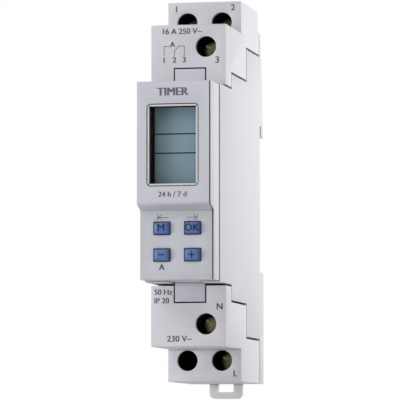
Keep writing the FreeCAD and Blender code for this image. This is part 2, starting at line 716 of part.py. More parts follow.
def terminal_outline(side, inset, open_past):
    """Profile of a terminal housing, its cavity or its carrier, in Y and Z."""
    gap = d.part_gap - open_past
    step_z = end_z - d.cap_notch + d.part_gap - inset
    rear_y = riser_rear_y - d.part_gap - inset
    points = [
        (near_y + inset, tread_front_z + gap), (near_y + inset, near_end_z - inset),
        (far_y + inset, near_end_z - inset), (far_y + inset, end_z - inset),
    ]
    if side > 0:
        points += [(-d.cap_rear - inset, end_z - inset), (-d.cap_rear - inset, step_z), (rear_y, step_z)]
    else:
        points += [(rear_y, end_z - inset)]
    points += [
        (rear_y, tread_rear_z + gap), (riser_middle_y - gap, tread_rear_z + gap),
        (riser_middle_y - gap, tread_middle_z + gap), (riser_front_y - gap, tread_middle_z + gap),
        (riser_front_y - gap, tread_front_z + gap),
    ]
    return polygon(*[(y, as_size(z) * side) for y, z in points])


def clamps_of(side):
    return [clamp for clamp in CLAMPS if clamp.side == side]


def bore_clamp(moulding, clamp, front):
    """Screwdriver hole and wire entry of one clamp."""
    moulding.pocket("y", front, clamp.hole_back, circle(clamp.x, clamp.z, d.driver_radius))
    entry = ordered(clamp.outer_z + clamp.side, clamp.z + clamp.side * d.cage_length / 2)
    moulding.pocket("z", *entry, circle(clamp.x, clamp.wire_y, d.wire_radius))


def terminal_housing(label, side):
    """Light grey two-tier shell over the terminals of one end."""
    housing = Moulding(label)
    housing.pad("x", *FULL, terminal_outline(side, Size(0), Size(0)))
    housing.pocket("x", -inner_half, inner_half, terminal_outline(side, d.face_wall, d.shell_overlap))
    gap = d.tongue_gap
    tab_hole_z = ordered(cover_half * side, (cover_half + d.tongue_reach + gap) * side)
    tab_hole = rectangle((tongue[0] - gap, tongue[1] + gap), tab_hole_z)
    housing.pocket("y", near_y - OVER, near_y + d.face_wall + OVER, tab_hole)
    for clamp in clamps_of(side):
        bore_clamp(housing, clamp, clamp.face_y - OVER)
    if side < 0:
        hole = circle(SPARE.x, SPARE.z, d.driver_radius)
        housing.pocket("y", SPARE.face_y - OVER, SPARE.face_y + d.face_wall + OVER, hole)
    ends = [(near_y, near_end_z * side), (far_y, end_z * side)]
    housing.round_edges("x", d.end_round, ends)


def terminal_carrier(label, side):
    """Black insert that fills the shell and holds the screws, cages and bars."""
    carrier = Moulding(label)
    across = (-inner_half + d.contact_clearance, inner_half - d.contact_clearance)
    carrier.pad("x", *across, terminal_outline(side, d.face_wall, Size(0)))
    for clamp in clamps_of(side):
        bore_clamp(carrier, clamp, clamp.face_y)
        pocket = circle(clamp.x, clamp.z, d.driver_radius + d.head_pocket)
        carrier.pocket("y", clamp.hole_back, clamp.head_back, pocket)
        bay = rectangle(middle(clamp.x, bay_half * 2), clamp.span_z(d.bay_clearance))
        carrier.pocket("y", clamp.head_back, clamp.bay_back, bay)
        bar_room = rectangle(middle(clamp.x, (bar_half + d.bar_seat) * 2), bar_slot_z(clamp))
        carrier.pocket("y", clamp.bar[0] - d.bar_seat, clamp.bar[1] + d.bar_seat, bar_room)
    if side < 0:
        pit = circle(SPARE.x, SPARE.z, d.driver_radius)
        carrier.pocket("y", SPARE.face_y, SPARE.head_front + d.pit_depth, pit)


def bar_slot_z(clamp):
    """The carrier's slot for a bar, from the bay to the inside of the timer."""
    inside = (tread_middle_z if clamp.near else tread_rear_z) - OVER
    return ordered(inside * clamp.side, clamp.z)


# ---------------------------------------------------------------- clamps

def terminal_screw(clamp):
    """Captive screw with a cross and slot drive."""
    centre = (clamp.x, clamp.z)
    head = rod("y", centre, d.head_radius, (clamp.head_front, clamp.head_back))
    shank = rod("y", centre, d.thread_radius,
                (clamp.head_front + d.drive_depth, clamp.bar[0] - d.shank_gap))
    deep = (clamp.head_front - OVER, clamp.head_front + d.drive_depth)
    long = d.head_radius * 2 * d.drive_share
    slot_x = block(middle(clamp.x, long), deep, middle(clamp.z, d.drive_width))
    slot_z = block(middle(clamp.x, d.drive_width), deep, middle(clamp.z, long))
    node(f"screw_{clamp.name}", cut(join(head, shank), slot_x, slot_z))


def clamp_cage(clamp):
    """Threaded frame that rises along the screw and pulls the wire to the bar."""
    outside = block(middle(clamp.x, cage_half * 2), (clamp.plate_front, clamp.cage_back), clamp.span_z())
    inside = block(middle(clamp.x, (cage_half - d.cage_side) * 2),
                   (clamp.plate_front + d.cage_plate, clamp.cage_back - d.cage_floor), clamp.span_z(OVER))
    thread = rod("y", (clamp.x, clamp.z), d.thread_radius + d.thread_clearance,
                 (clamp.plate_front - OVER, clamp.plate_front + d.cage_plate + OVER))
    node(f"cage_{clamp.name}", cut(outside, inside, thread))


def terminal_bar(clamp):
    """Flat bar through the cage, with a tail that reaches the main board."""
    bar = Moulding(f"bar_{clamp.name}")
    low_x, high_x = middle(clamp.x, bar_half * 2)
    outer = clamp.z + clamp.side * (d.cage_length / 2)
    tread = tread_middle_z if clamp.near else tread_rear_z
    if clamp.x.value < 0:
        tail_top = tread - d.board_clearance + d.left_tail_drop
        tail_low = tail_top - d.left_tail
    else:
        tail_top = tread - d.right_tail_drop
        tail_low = tail_top - d.right_tail
    tail_out, tail_in = tail_top * clamp.side, tail_low * clamp.side
    tail_x = board_face_x + d.contact_clearance
    outline = polygon((low_x, outer), (high_x, outer), (high_x, tail_in),
                      (tail_x, tail_in), (tail_x, tail_out), (low_x, tail_out))
    bar.pad("y", *clamp.bar, outline)


# ---------------------------------------------------------------- front cover

cover_x = (-d.cover_width / 2, d.cover_width / 2)
cover_inner_half = d.cover_width / 2 - d.cover_wall
window_x = middle(d.window_centre, d.window_width)
window_z = (d.window_bottom, d.window_bottom + d.window_height)
opening_x = (window_x[0] + d.window_rim, window_x[1] - d.window_rim)
opening_z = (window_z[0] + d.window_rim, window_z[1] - d.window_rim)
KEYS = {
    "menu": (d.key_column_left, d.key_row_top),
    "ok": (d.key_column_right, d.key_row_top),
    "minus": (d.key_column_left, d.key_row_bottom),
    "plus": (d.key_column_right, d.key_row_bottom),
}


def front_profile(shift, top, bottom):
    """The stepped line of the cover's front, moved back by a distance."""
    slope_top = -d.slope_start
    slope_bottom = -d.slope_start - d.slope_rise
    return [(display_y + shift, top), (display_y + shift, slope_top),
            (key_y + shift, slope_bottom), (key_y + shift, bottom)]


def front_cover():
    """Hollow cover over the display and keys, held by a tongue at each end."""
    cover = Moulding("front_cover")
    outer = front_profile(Size(0), cover_half, -cover_half)
    cover.pad("x", *cover_x, polygon(*outer, (collar_y, -cover_half), (collar_y, cover_half)))
    cover.round_edges("x", d.slope_round, [(display_y, -d.slope_start)])
    roof = cover_half - d.cover_end
    inner = front_profile(d.cover_plate, roof, -roof)
    cover.pocket("x", -cover_inner_half, cover_inner_half,
                 polygon(*inner, (collar_y + OVER, -roof), (collar_y + OVER, roof)))
    tab_y = (near_y, near_y + d.tongue_thickness)
    for side in (1, -1):
        arm_root = (roof + d.arm_step) * side
        arm_z = ordered(arm_root, cover_half * side)
        cover.pad("y", collar_y - d.arm_overlap, tab_y[1], rectangle(tongue, arm_z))
        tab_z = ordered(arm_root, (cover_half + d.tongue_reach) * side)
        cover.pad("y", *tab_y, rectangle(tongue, tab_z))
    cover.pocket("y", display_y - OVER, display_y + d.lens_thickness, rectangle(window_x, window_z))
    cover.pocket("y", display_y, display_y + d.cover_plate + OVER, rectangle(opening_x, opening_z))
    for x, z in KEYS.values():
        hole = rectangle(middle(x, d.key_width + d.key_clearance * 2),
                         middle(z, d.key_height + d.key_clearance * 2))
        cover.pocket("y", key_y - OVER, key_y + d.cover_plate + OVER, hole)
    groove_ends = (cover_half + OVER, -cover_half - OVER)
    groove_front = front_profile(Size(-OVER), *groove_ends)
    groove_floor = front_profile(d.groove_depth, *groove_ends)
    band = polygon(*groove_front, *reversed(groove_floor))
    groove_x = (cover_x[1] - d.groove_rib - d.groove_width, cover_x[1] - d.groove_rib)
    cover.pocket("x", *groove_x, band)
    corners = [(x, z) for x in window_x for z in window_z]
    cover.round_edges("y", d.window_round, corners)


def display_window():
    """Clear pane, flush with the cover."""
    pane = Moulding("display_window")
    fit = d.contact_clearance
    across = (window_x[0] + fit, window_x[1] - fit)
    upright = (window_z[0] + fit, window_z[1] - fit)
    pane.pad("y", display_y, display_y + d.lens_thickness, rectangle(across, upright))
    pane.round_edges("y", d.window_round - fit, [(x, z) for x in across for z in upright])


def key_and_plunger(name, x, z):
    """Key cap with its flange and stem, and the switch plunger behind it."""
    key = Moulding(f"key_{name}")
    flange_front = key_y + d.cover_plate + d.key_float
    flange_back = flange_front + d.key_flange_thickness
    plunger_front = display_board_y - d.switch_height - d.plunger_proud
    key.pad("y", key_y - d.key_proud, flange_front,
            rectangle(middle(x, d.key_width), middle(z, d.key_height)))
    key.pad("y", flange_front, flange_back,
            rectangle(middle(x, d.key_width + d.key_flange * 2),
                      middle(z, d.key_height + d.key_flange * 2)))
    key.pad("y", flange_back, plunger_front, circle(x, z, d.plunger_radius + d.stem_margin))
    corners = [(u, v) for u in middle(x, d.key_width) for v in middle(z, d.key_height)]
    key.round_edges("y", d.key_round, corners)
    plunger_y = (plunger_front, plunger_front + d.plunger_proud + d.plunger_sunk)
    node(f"plunger_{name}", rod("y", (x, z), d.plunger_radius, plunger_y))


def push_switches():
    """Four switch bodies on the display board, one behind each key."""
    bodies = []
    front = display_board_y - d.switch_height
    for x, z in KEYS.values():
        body = block(middle(x, d.switch_width), (front, display_board_y), middle(z, d.switch_length))
        well = rod("y", (x, z), d.plunger_radius + d.plunger_clearance,
                   (front - OVER, front + d.well_depth))
        bodies.append(cut(body, well))
    node("push_switches", group(*bodies))


# ---------------------------------------------------------------- display

glass_x = (opening_x[0] - d.glass_margin, opening_x[1] + d.glass_margin)
glass_z = (opening_z[0] - d.glass_overlap, opening_z[1] + d.glass_overlap)


def display_stack():
    """Frame, panel, diffuser and contact strips between the window and the board."""
    frame = Moulding("display_frame")
    front = display_y + d.cover_plate + d.contact_clearance
    rear = display_board_y - d.contact_clearance
    room = d.contact_clearance
    frame_x = (glass_x[0] - d.frame_side, glass_x[1] + d.frame_side)
    frame_z = (glass_z[0] - d.frame_end, glass_z[1] + d.frame_end)
    frame.pad("y", front, rear, rectangle(frame_x, frame_z))
    frame.pocket("y", front - OVER, glass_y, rectangle(opening_x, opening_z))
    frame.pocket("y", glass_y, rear + OVER,
                 rectangle((glass_x[0] - room, glass_x[1] + room), (glass_z[0] - room, glass_z[1] + room)))
    glass_back = glass_y + d.glass_thickness
    node("lcd_panel", block(glass_x, (glass_y, glass_back), glass_z))
    light_z = (opening_z[0] + d.diffuser_inset, opening_z[1] - d.diffuser_inset)
    node("display_diffuser", block(glass_x, (glass_back, glass_back + d.diffuser_thickness), light_z))
    strips = []
    for edge, inward in ((glass_z[0] + room * 2, 1), (glass_z[1] - room * 2, -1)):
        strip_z = ordered(edge, edge + d.strip_height * inward)
        strips.append(block(glass_x, (glass_back, display_board_y), strip_z))
    node("contact_strips", group(*strips))
    board_half = cover_half - d.display_board_inset
    node("display_board", block(middle(0, d.display_board_width), (display_board_y, display_board_back_y),
                                (-board_half, board_half)))


def display_electronics():
    """What sits on the back of the display board."""
    back = display_board_back_y
    chip = block(middle(d.chip_x, d.chip_size), (back, back + d.chip_height), middle(d.chip_z, d.chip_size))
    node("microcontroller", chip)
    crystal_z = (d.crystal_z, d.crystal_z + d.crystal_length)
    node("clock_crystal", rod("z", (d.crystal_x, back + d.crystal_radius), d.crystal_radius, crystal_z))
    header_x = board_face_x + d.contact_clearance
    header = block((header_x, header_x + d.header_width), (back, back + d.header_depth),
                   middle(d.header_z, d.header_length))
    node("board_connector", header)


# ---------------------------------------------------------------- main board

def main_board():
    """Board that stands along the left side wall, stepped like the housing."""
    keep = d.board_clearance
    front = display_board_back_y + keep
    front_top = tread_front_z - d.board_front_drop
    points = [
        (front, front_top), (riser_front_y + keep, front_top),
        (riser_front_y + keep, tread_middle_z - keep), (riser_middle_y + keep, tread_middle_z - keep),
        (riser_middle_y + keep, tread_rear_z - keep), (-d.rear_wall - keep, tread_rear_z - keep),
    ]
    lower = [(y, -z) for y, z in reversed(points)]
    board = Moulding("main_board")
    board.pad("x", board_back_x, board_face_x, polygon(*points, *lower))


def power_supply():
    """Parts that feed the timer from the mains, on the main board's face."""
    face = board_face_x
    front = riser_front_y + d.supply_start
    film = block((face, face + d.mains_capacitor_width), (front, front + d.mains_capacitor_depth),
                 (d.mains_capacitor_top - d.mains_capacitor_length, d.mains_capacitor_top))
    node("mains_capacitor", film)
    can_x = face + d.can_radius + d.can_lift
    node("smoothing_capacitor", rod("y", (can_x, d.can_z), d.can_radius, (front, front + d.can_length)))
    disc = rod("x", (d.varistor_y, d.varistor_z), d.varistor_radius, (face, face + d.varistor_thickness))
    node("varistor", disc)
    resistor_at = (face + d.resistor_radius + d.resistor_lift, riser_front_y - d.resistor_ahead)
    resistor_z = (d.resistor_low, d.resistor_low + d.resistor_length)
    node("fusible_resistor", rod("z", resistor_at, d.resistor_radius, resistor_z))
    bridge_y = middle(riser_front_y - d.bridge_ahead, d.bridge_width)
    bridge = block((face, face + d.bridge_height), bridge_y, middle(d.bridge_z, d.bridge_length))
    node("bridge_rectifier", bridge)
    cell_x = (face + d.tab_foot, face + d.tab_foot + d.cell_thickness)
    node("reserve_cell", rod("x", (d.cell_y, d.cell_z), d.cell_radius, cell_x))
    tab_y, tab_z = middle(d.cell_y, d.tab_width), middle(d.cell_z, d.tab_length)
    under = block((face, cell_x[0]), tab_y, tab_z)
    over = block((cell_x[1], cell_x[1] + d.tab_cap), tab_y, tab_z)
    node("cell_tabs", group(under, over))


# ---------------------------------------------------------------- relay

relay_base_x = (board_face_x, board_face_x + d.relay_base_height)
relay_y = (d.relay_front, d.relay_rear)
relay_z = (d.relay_low, d.relay_high)
relay_mid_y = (relay_y[0] + relay_y[1]) / 2
relay_top_x = board_face_x + d.relay_height
core_x = relay_base_x[1] + d.core_height
coil_z = (d.coil_low, d.coil_high)
pivot_x = relay_base_x[1] + d.pivot_lift
ARMATURE_TILT = 5.0


def relay_housing():
    """Base and case of the changeover relay."""
    node("relay_base", block(relay_base_x, relay_y, relay_z))
    case = block((relay_base_x[1], relay_top_x), relay_y, relay_z)
    wall = d.case_wall
    room = block((relay_base_x[1] - OVER, relay_top_x - wall), (relay_y[0] + wall, relay_y[1] - wall),
                 (relay_z[0] + wall, relay_z[1] - wall))
    node("relay_case", cut(case, room))


def relay_magnet():
    """Core, bobbin, winding and yoke."""
    axis = (core_x, relay_mid_y)
    node("relay_core", rod("z", axis, d.core_radius, (coil_z[0] - d.core_foot, coil_z[1] + d.core_tip)))
    tube_radius = d.core_radius + d.bobbin_tube
    parts = [rod("z", axis, tube_radius, coil_z)]
    for edge, inward in ((coil_z[0], 1), (coil_z[1], -1)):
        flange_z = ordered(edge, edge + d.bobbin_flange * inward)
        parts.append(block(middle(core_x, d.bobbin_width), middle(relay_mid_y, d.bobbin_depth), flange_z))
    bore = rod("z", axis, d.core_radius + d.bobbin_fit, (coil_z[0] - OVER, coil_z[1] + OVER))
    node("relay_bobbin", cut(join(*parts), bore))
    end = d.bobbin_flange + d.coil_gap
    winding = rod("z", axis, d.coil_radius, (coil_z[0] + end, coil_z[1] - end))
    node("relay_coil", cut(winding, rod("z", axis, tube_radius + d.coil_gap, coil_z)))
    yoke_x = relay_base_x[1] + d.yoke_lift
    yoke_y = middle(relay_mid_y, d.yoke_width)
    foot_z = (coil_z[0] - d.yoke_gap - d.yoke_foot, coil_z[0] - d.yoke_gap)
    foot = block((yoke_x, core_x + d.yoke_reach), yoke_y, foot_z)
    leg = block((yoke_x, yoke_x + d.yoke_side), yoke_y, (foot_z[0], d.pivot_z - d.pivot_gap))
    hole = rod("z", axis, d.core_radius + d.bobbin_fit, (foot_z[0] - OVER, foot_z[1] + OVER))
    node("relay_yoke", cut(join(foot, leg), hole))


def relay_contacts():
    """Moving blade between the two fixed contacts."""
    contact_x = relay_top_x - d.contact_inset
    blade_x = (relay_base_x[1] + d.blade_lift, relay_top_x - d.blade_short)
    blade_top = d.blade_z + d.blade_thickness
    blade = block(blade_x, middle(relay_mid_y, d.blade_width), (d.blade_z, blade_top))
    rivet_z = (d.blade_z - d.rivet_proud, blade_top + d.rivet_proud)
    rivet = rod("z", (contact_x, relay_mid_y), d.rivet_radius, rivet_z)
    node("contact_blade", join(blade, rivet))
    arm_x = middle(contact_x, d.spring_bar_half * 2)
    arm_y = (relay_mid_y - d.spring_bar_front, relay_mid_y + d.spring_bar_rear)
    leg_y = (relay_mid_y - d.leg_front, relay_mid_y - d.leg_front + d.leg_thickness)
    for name, side in (("closed", 1), ("open", -1)):
        face = rivet_z[1] + d.contact_rest_gap if side > 0 else rivet_z[0] - d.contact_gap
        tip_z = ordered(face, face + d.contact_height * side)
        tip = rod("z", (contact_x, relay_mid_y), d.contact_radius, tip_z)
        bar_face = face + d.spring_bar_lap * side
        arm_z = ordered(bar_face, bar_face + d.spring_bar * side)
        arm = block(arm_x, arm_y, arm_z)
        leg = block((relay_base_x[1], contact_x), leg_y, arm_z)
        node(f"contact_{name}", join(tip, arm, leg))


def relay_armature():
    """Tilting plate with the insulating card that pushes the blade."""
    reach = relay_top_x - d.armature_short - pivot_x
    top = d.armature_thickness
    plate = block((0, reach), middle(0, d.armature_width), (0, top))
    card_z = (top, d.blade_z - d.pivot_z - d.card_gap)
    card = block((reach - d.card_thickness, reach), middle(0, d.card_width), card_z)
    tilt = FreeCAD.Rotation(Vector(0, 1, 0), -ARMATURE_TILT)
    for name, shape in (("relay_armature", plate), ("pusher_card", card)):
        tilted = group(shape)
        tilted.Placement = FreeCAD.Placement(Vector(0, 0, 0), tilt)
        for letter, place in (("x", pivot_x), ("y", relay_mid_y), ("z", d.pivot_z)):
            tilted.setExpression(f"Placement.Base.{letter}", place.formula)
        node(name, tilted)


# ---------------------------------------------------------------- build

main_housing()
rail_latch()
latch_spring()
for label_start, end_side in (("upper", 1), ("lower", -1)):
    terminal_housing(f"{label_start}_terminal_housing", end_side)
    terminal_carrier(f"{label_start}_terminal_carrier", end_side)
for one_clamp in CLAMPS:
    terminal_screw(one_clamp)
    clamp_cage(one_clamp)
    terminal_bar(one_clamp)
front_cover()
display_window()
for key_name, (key_x, key_z) in KEYS.items():
    key_and_plunger(key_name, key_x, key_z)
push_switches()
display_stack()
display_electronics()
main_board()
power_supply()
relay_housing()
relay_magnet()
relay_contacts()
relay_armature()
doc.recompute()


# ---------------------------------------------------------------- check and write

def check_document():
    """Stop if any object failed, cut nothing, or holds a bad shape."""
    for thing in doc.Objects:
        if "Invalid" in thing.State or "Error" in thing.State:
            raise RuntimeError(f"{thing.Label} failed: {thing.State}")
        if thing.TypeId == "PartDesign::Pocket":
            before = thing.BaseFeature.Shape.Volume
            if thing.Shape.Volume > before - 1e-6:
                raise RuntimeError(f"{thing.Label} cuts nothing")
    for label, thing in NODES.items():
        if thing.Shape.isNull() or not thing.Shape.isValid():
            raise RuntimeError(f"{label} has no valid shape")


check_document()
os.makedirs("parts", exist_ok=True)
for label, thing in NODES.items():
    thing.Shape.exportStep(os.path.join("parts", f"{label}.step"))
    print(f"{label}: {len(thing.Shape.Solids)} solid(s), {thing.Shape.Volume:.1f} mm3")
print(f"{len(NODES)} nodes")
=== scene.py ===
# %% [markdown]
# # A one-module timer for the DIN rail
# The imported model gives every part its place. This lesson gives them their looks: rounded
# edges, moulded plastic, plated screws, a display, and the printing. All lengths are in metres,
# so one millimetre gets a name of its own.

# %% The frame
import json
import math

import bmesh
import bpy
from mathutils import Matrix, Vector


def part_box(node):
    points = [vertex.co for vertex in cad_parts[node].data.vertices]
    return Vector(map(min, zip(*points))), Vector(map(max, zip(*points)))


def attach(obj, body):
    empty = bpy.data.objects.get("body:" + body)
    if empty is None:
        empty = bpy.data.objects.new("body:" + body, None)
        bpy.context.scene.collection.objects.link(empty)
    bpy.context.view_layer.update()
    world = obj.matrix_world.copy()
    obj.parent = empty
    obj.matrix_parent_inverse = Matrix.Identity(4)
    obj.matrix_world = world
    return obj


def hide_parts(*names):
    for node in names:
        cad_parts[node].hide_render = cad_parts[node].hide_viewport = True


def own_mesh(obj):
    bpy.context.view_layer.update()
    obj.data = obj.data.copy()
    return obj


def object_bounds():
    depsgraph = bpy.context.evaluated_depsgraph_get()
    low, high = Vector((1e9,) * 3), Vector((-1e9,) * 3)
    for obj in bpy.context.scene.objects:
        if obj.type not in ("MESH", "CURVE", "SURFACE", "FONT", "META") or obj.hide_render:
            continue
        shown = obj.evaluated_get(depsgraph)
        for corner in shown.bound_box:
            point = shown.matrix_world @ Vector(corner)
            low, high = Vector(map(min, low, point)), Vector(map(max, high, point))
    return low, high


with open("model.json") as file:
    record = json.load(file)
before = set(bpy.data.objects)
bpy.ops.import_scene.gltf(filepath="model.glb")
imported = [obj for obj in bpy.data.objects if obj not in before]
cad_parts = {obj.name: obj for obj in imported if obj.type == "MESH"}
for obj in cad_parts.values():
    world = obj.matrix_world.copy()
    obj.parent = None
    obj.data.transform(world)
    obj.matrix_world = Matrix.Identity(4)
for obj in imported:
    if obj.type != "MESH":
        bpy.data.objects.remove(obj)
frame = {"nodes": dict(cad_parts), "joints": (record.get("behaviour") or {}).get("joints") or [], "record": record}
cad_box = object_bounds()
MM = 0.001
print("nodes in the frame:", len(frame["nodes"]))

# %% [markdown]
# ## Shader maths as plain expressions
# A finish is mostly arithmetic on noise and position. Writing it with node names and links hides
# the idea, so one small class wraps a socket and lets the usual operators add the Math nodes.


# %% Sockets that can be added and multiplied
class Flow:
    """A socket that works in an expression."""

    def __init__(self, finish, socket):
        self.finish, self.socket = finish, socket

    def _math(self, operation, first, second):
        return self.finish.node("ShaderNodeMath", {0: first, 1: second}, operation=operation)

    def __add__(self, other):
        return self._math("ADD", self, other)

    def __radd__(self, other):
        return self._math("ADD", other, self)

    def __sub__(self, other):
        return self._math("SUBTRACT", self, other)

    def __rsub__(self, other):
        return self._math("SUBTRACT", other, self)

    def __mul__(self, other):
        return self._math("MULTIPLY", self, other)

    def __rmul__(self, other):
        return self._math("MULTIPLY", other, self)


print("operators ready: + - *")

# %% [markdown]
# ## A material being mixed
# Every finish starts from the Principled shader. One method adds any kind of node, and the masks
# that all finishes share are built from it: noise for grain, a rounded normal that leans away
# from the flat one near an edge, and how little sky a point in a gap can see.

# %% One class for a finish and its nodes
EDGE_REACH = 0.14 * MM
EDGE_CONTRAST = 6.0
OPEN_SKY = 0.92
GAP_SHADE_CONTRAST = 1.9


class Finish:
    """A material being mixed, with one method for every kind of node."""

    def __init__(self, name):
        self.material = bpy.data.materials.new(name)
        self.material.use_nodes = True
        self.tree = self.material.node_tree
        self.shader = self.tree.nodes["Principled BSDF"]

    def feed(self, socket, value):
        """Link a Flow to a socket, or set the socket to a plain value."""
        if isinstance(value, Flow):
            self.tree.links.new(value.socket, socket)
        else:
            socket.default_value = value

    def node(self, kind, inputs=None, output=0, **settings):
        """Any node, with its settings and its inputs, read at one of its outputs."""
        made = self.tree.nodes.new(kind)
        for name, value in settings.items():
            setattr(made, name, value)
        for key, value in (inputs or {}).items():
            self.feed(made.inputs[key], value)
        return Flow(self, made.outputs[output])

    def place(self):
        """The point being shaded, in metres in the frame the part was drawn in."""
        return self.node("ShaderNodeTexCoord", output=3)

    def noise(self, size, detail=2.0, stretch=None):
        """Noise whose blotches are about as large as the size given, from 0 to 1."""
        where = self.place()
        if stretch:
            where = self.node("ShaderNodeVectorMath", {0: where, 1: stretch}, operation="MULTIPLY")
        inputs = {"Vector": where, "Scale": 1 / size, "Detail": detail}
        return self.node("ShaderNodeTexNoise", inputs)

    def clamp(self, value):
        """Keep a number between 0 and 1."""
        return self.node("ShaderNodeClamp", {0: value})

    def edges(self):
        """1 close to an edge and 0 on the flats, from how far a rounded normal turns away."""
        soft = self.node("ShaderNodeBevel", {"Radius": EDGE_REACH}, samples=4)
        flat = self.node("ShaderNodeNewGeometry", output=1)
        along = self.node(
            "ShaderNodeVectorMath", {0: soft, 1: flat}, output=1, operation="DOT_PRODUCT")
        return self.clamp((1.0 - along) * EDGE_CONTRAST)

    def painted_gap_shade(self, reach):
        """Painted shade: 1 in gaps narrower than the reach and in inner corners, 0 in the open."""
        open_sky = self.node("ShaderNodeAmbientOcclusion", {"Distance": reach}, output=1, samples=6)
        return self.clamp((OPEN_SKY - open_sky) * GAP_SHADE_CONTRAST)

    def height(self):
        """How high a point is, in metres above the rail's middle."""
        return self.node("ShaderNodeSeparateXYZ", {0: self.place()}, output=2)

    def blend(self, amount, first, second):
        """Mix two colours by a number."""
        return self.node(
            "ShaderNodeMix", {0: amount, 6: first, 7: second}, output=2, data_type="RGBA")

    def bump(self, height, depth):
        """A normal that leans with a height map; depth is how deep its full range goes."""
        return self.node("ShaderNodeBump", {"Height": height, "Distance": depth, "Strength": 1.0})

    def set(self, **values):
        """Values for the shader's sockets, with _ for the spaces in their names."""
        for name, value in values.items():
            self.feed(self.shader.inputs[name.replace("_", " ")], value)
        return self.material


def rgb(red, green, blue):
    """An opaque colour."""
    return (red, green, blue, 1.0)


def shade(colour, factor):
    """The same hue, darker or lighter."""
    return rgb(*(min(1.0, c * factor) for c in colour[:3]))


print("edge mask reaches", EDGE_REACH / MM, "mm")

# %% [markdown]
# ## Moulded plastic
# A housing comes out of a spark-eroded mould, so its skin is an even, very fine grain that breaks
# up the highlights. The colour drifts a little with the flow of the melt. The edges, handled and
# ejected first, are polished, and their colour is painted a shade lighter as a painted sheen.
# Joints, grooves and inner corners get painted shade. Three noises, the edge mask and the gap mask
# give that. A painted image would give the same, but it wouldn't follow the shape.


# %% A plastic for the housings, keys and inner mouldings
FLOW_MARK = 14 * MM
SPECK = 0.5 * MM
GRAIN_DEPTH = 0.008 * MM


def plastic(name, colour, grain=0.16 * MM, rough=0.5, drift=0.04, reach=0.55 * MM, **more):
    """Grained plastic with a painted sheen on its edges: drift is how far its tone wanders, reach how wide a gap
    gets painted shade.
    """
    f = Finish(name)
    flow = f.noise(FLOW_MARK, 3.0, (1.0, 1.0, 0.45))
    speck = f.noise(SPECK, 1.0)
    skin = f.noise(grain, 2.0)
    wear_and_sheen = f.edges()
    tone = f.blend(flow, shade(colour, 1 - drift), shade(colour, 1 + drift))
    tone = f.blend(speck * 0.12, tone, shade(colour, 0.86))
    # painted sheen: edges a shade lighter in colour; their lower roughness is real polish
    tone = f.blend(wear_and_sheen * 0.45, tone, shade(colour, 1.14))
    # painted shade: gaps and inner corners darkened nearly to black
    tone = f.blend(f.painted_gap_shade(reach) * 0.9, tone, shade(colour, 0.10))
    roughness = rough + flow * 0.08 - wear_and_sheen * 0.12 + skin * 0.06
    return f.set(Base_Color=tone, Roughness=roughness, Normal=f.bump(skin, GRAIN_DEPTH), **more)


housing_grey = plastic("housing_grey", rgb(0.77, 0.765, 0.815))
cover_grey = plastic("cover_grey", rgb(0.69, 0.69, 0.755), rough=0.46)
carrier_black = plastic("carrier_black", rgb(0.008, 0.008, 0.009), rough=0.7, drift=0.2,
                        Specular_IOR_Level=0.12)
# the wide reach paints shade down the keys' sides and round their feet
key_blue = plastic("key_blue", rgb(0.105, 0.20, 0.49), grain=0.1 * MM, rough=0.34, reach=1.6 * MM,
                   Coat_Weight=0.15)
latch_white = plastic("latch_white", rgb(0.80, 0.80, 0.80), rough=0.36, Subsurface_Weight=0.25,
                      Subsurface_Radius=(0.002, 0.002, 0.002), Subsurface_Scale=0.5)
diffuser_white = plastic("diffuser_white", rgb(0.82, 0.82, 0.78), rough=0.4)
plunger_brown = plastic("plunger_brown", rgb(0.16, 0.08, 0.04), rough=0.4)
relay_blue = plastic("relay_blue", rgb(0.04, 0.12, 0.36), rough=0.25, Coat_Weight=0.3)
sleeve_dark = plastic("sleeve_dark", rgb(0.03, 0.05, 0.12), rough=0.3, Coat_Weight=0.4)
box_yellow = plastic("box_yellow", rgb(0.72, 0.50, 0.08), rough=0.35)
strip_rubber = plastic("strip_rubber", rgb(0.30, 0.16, 0.20), rough=0.7)
print("plastics:", len(bpy.data.materials))

# %% [markdown]
# ## Metals
# The terminal screws are yellow zinc plated: a warm, slightly rainbow film over turned steel.
# The film is thicker in some places, which is a second noise, and the lathe leaves fine rings,
# which are a stretched noise in the bump.


# %% Plated and bare metal
FILM_PATCH = 1.6 * MM
TOOL_MARK = 0.05 * MM
TURNING_DEPTH = 0.003 * MM


def metal(name, colour, second, rough=0.28):
    """A metal whose film wanders between two colours, over fine rings left by the lathe."""
    f = Finish(name)
    film = f.noise(FILM_PATCH, 3.0)
    turned = f.noise(TOOL_MARK, 1.0, (0.15, 1.0, 0.15))
    wear_and_sheen = f.edges()
    tone = f.blend(film, colour, second)
    # painted sheen: edges a shade lighter in colour; their lower roughness is real wear
    tone = f.blend(wear_and_sheen * 0.5, tone, shade(colour, 1.25))
    roughness = rough + film * 0.16 - wear_and_sheen * 0.1
    normal = f.bump(turned, TURNING_DEPTH)
    return f.set(Base_Color=tone, Metallic=1.0, Roughness=roughness, Normal=normal)


screw_plated = metal("screw_plated", rgb(1.0, 0.93, 0.60), rgb(0.92, 0.84, 0.44), 0.42)
cage_steel = metal("cage_steel", rgb(0.66, 0.66, 0.64), rgb(0.50, 0.50, 0.50))
bar_copper = metal("bar_copper", rgb(0.80, 0.47, 0.28), rgb(0.66, 0.36, 0.20))
spring_steel = metal("spring_steel", rgb(0.55, 0.55, 0.56), rgb(0.45, 0.45, 0.46))
print("metals ready")

# %% [markdown]
# ## The display and the window
# A liquid crystal panel at rest is a flat grey green with a faint sheen, a little lighter where
# the diffuser behind it is lit. The window in front is clear, so nearly all of it is alpha: a real
# refracting pane would only add noise over something so thin. Behind a clear pane any white haze
# turns the dark frame grey, so the little that isn't alpha is nearly black.


# %% Display glass and clear pane
DISPLAY_TOP = 16 * MM


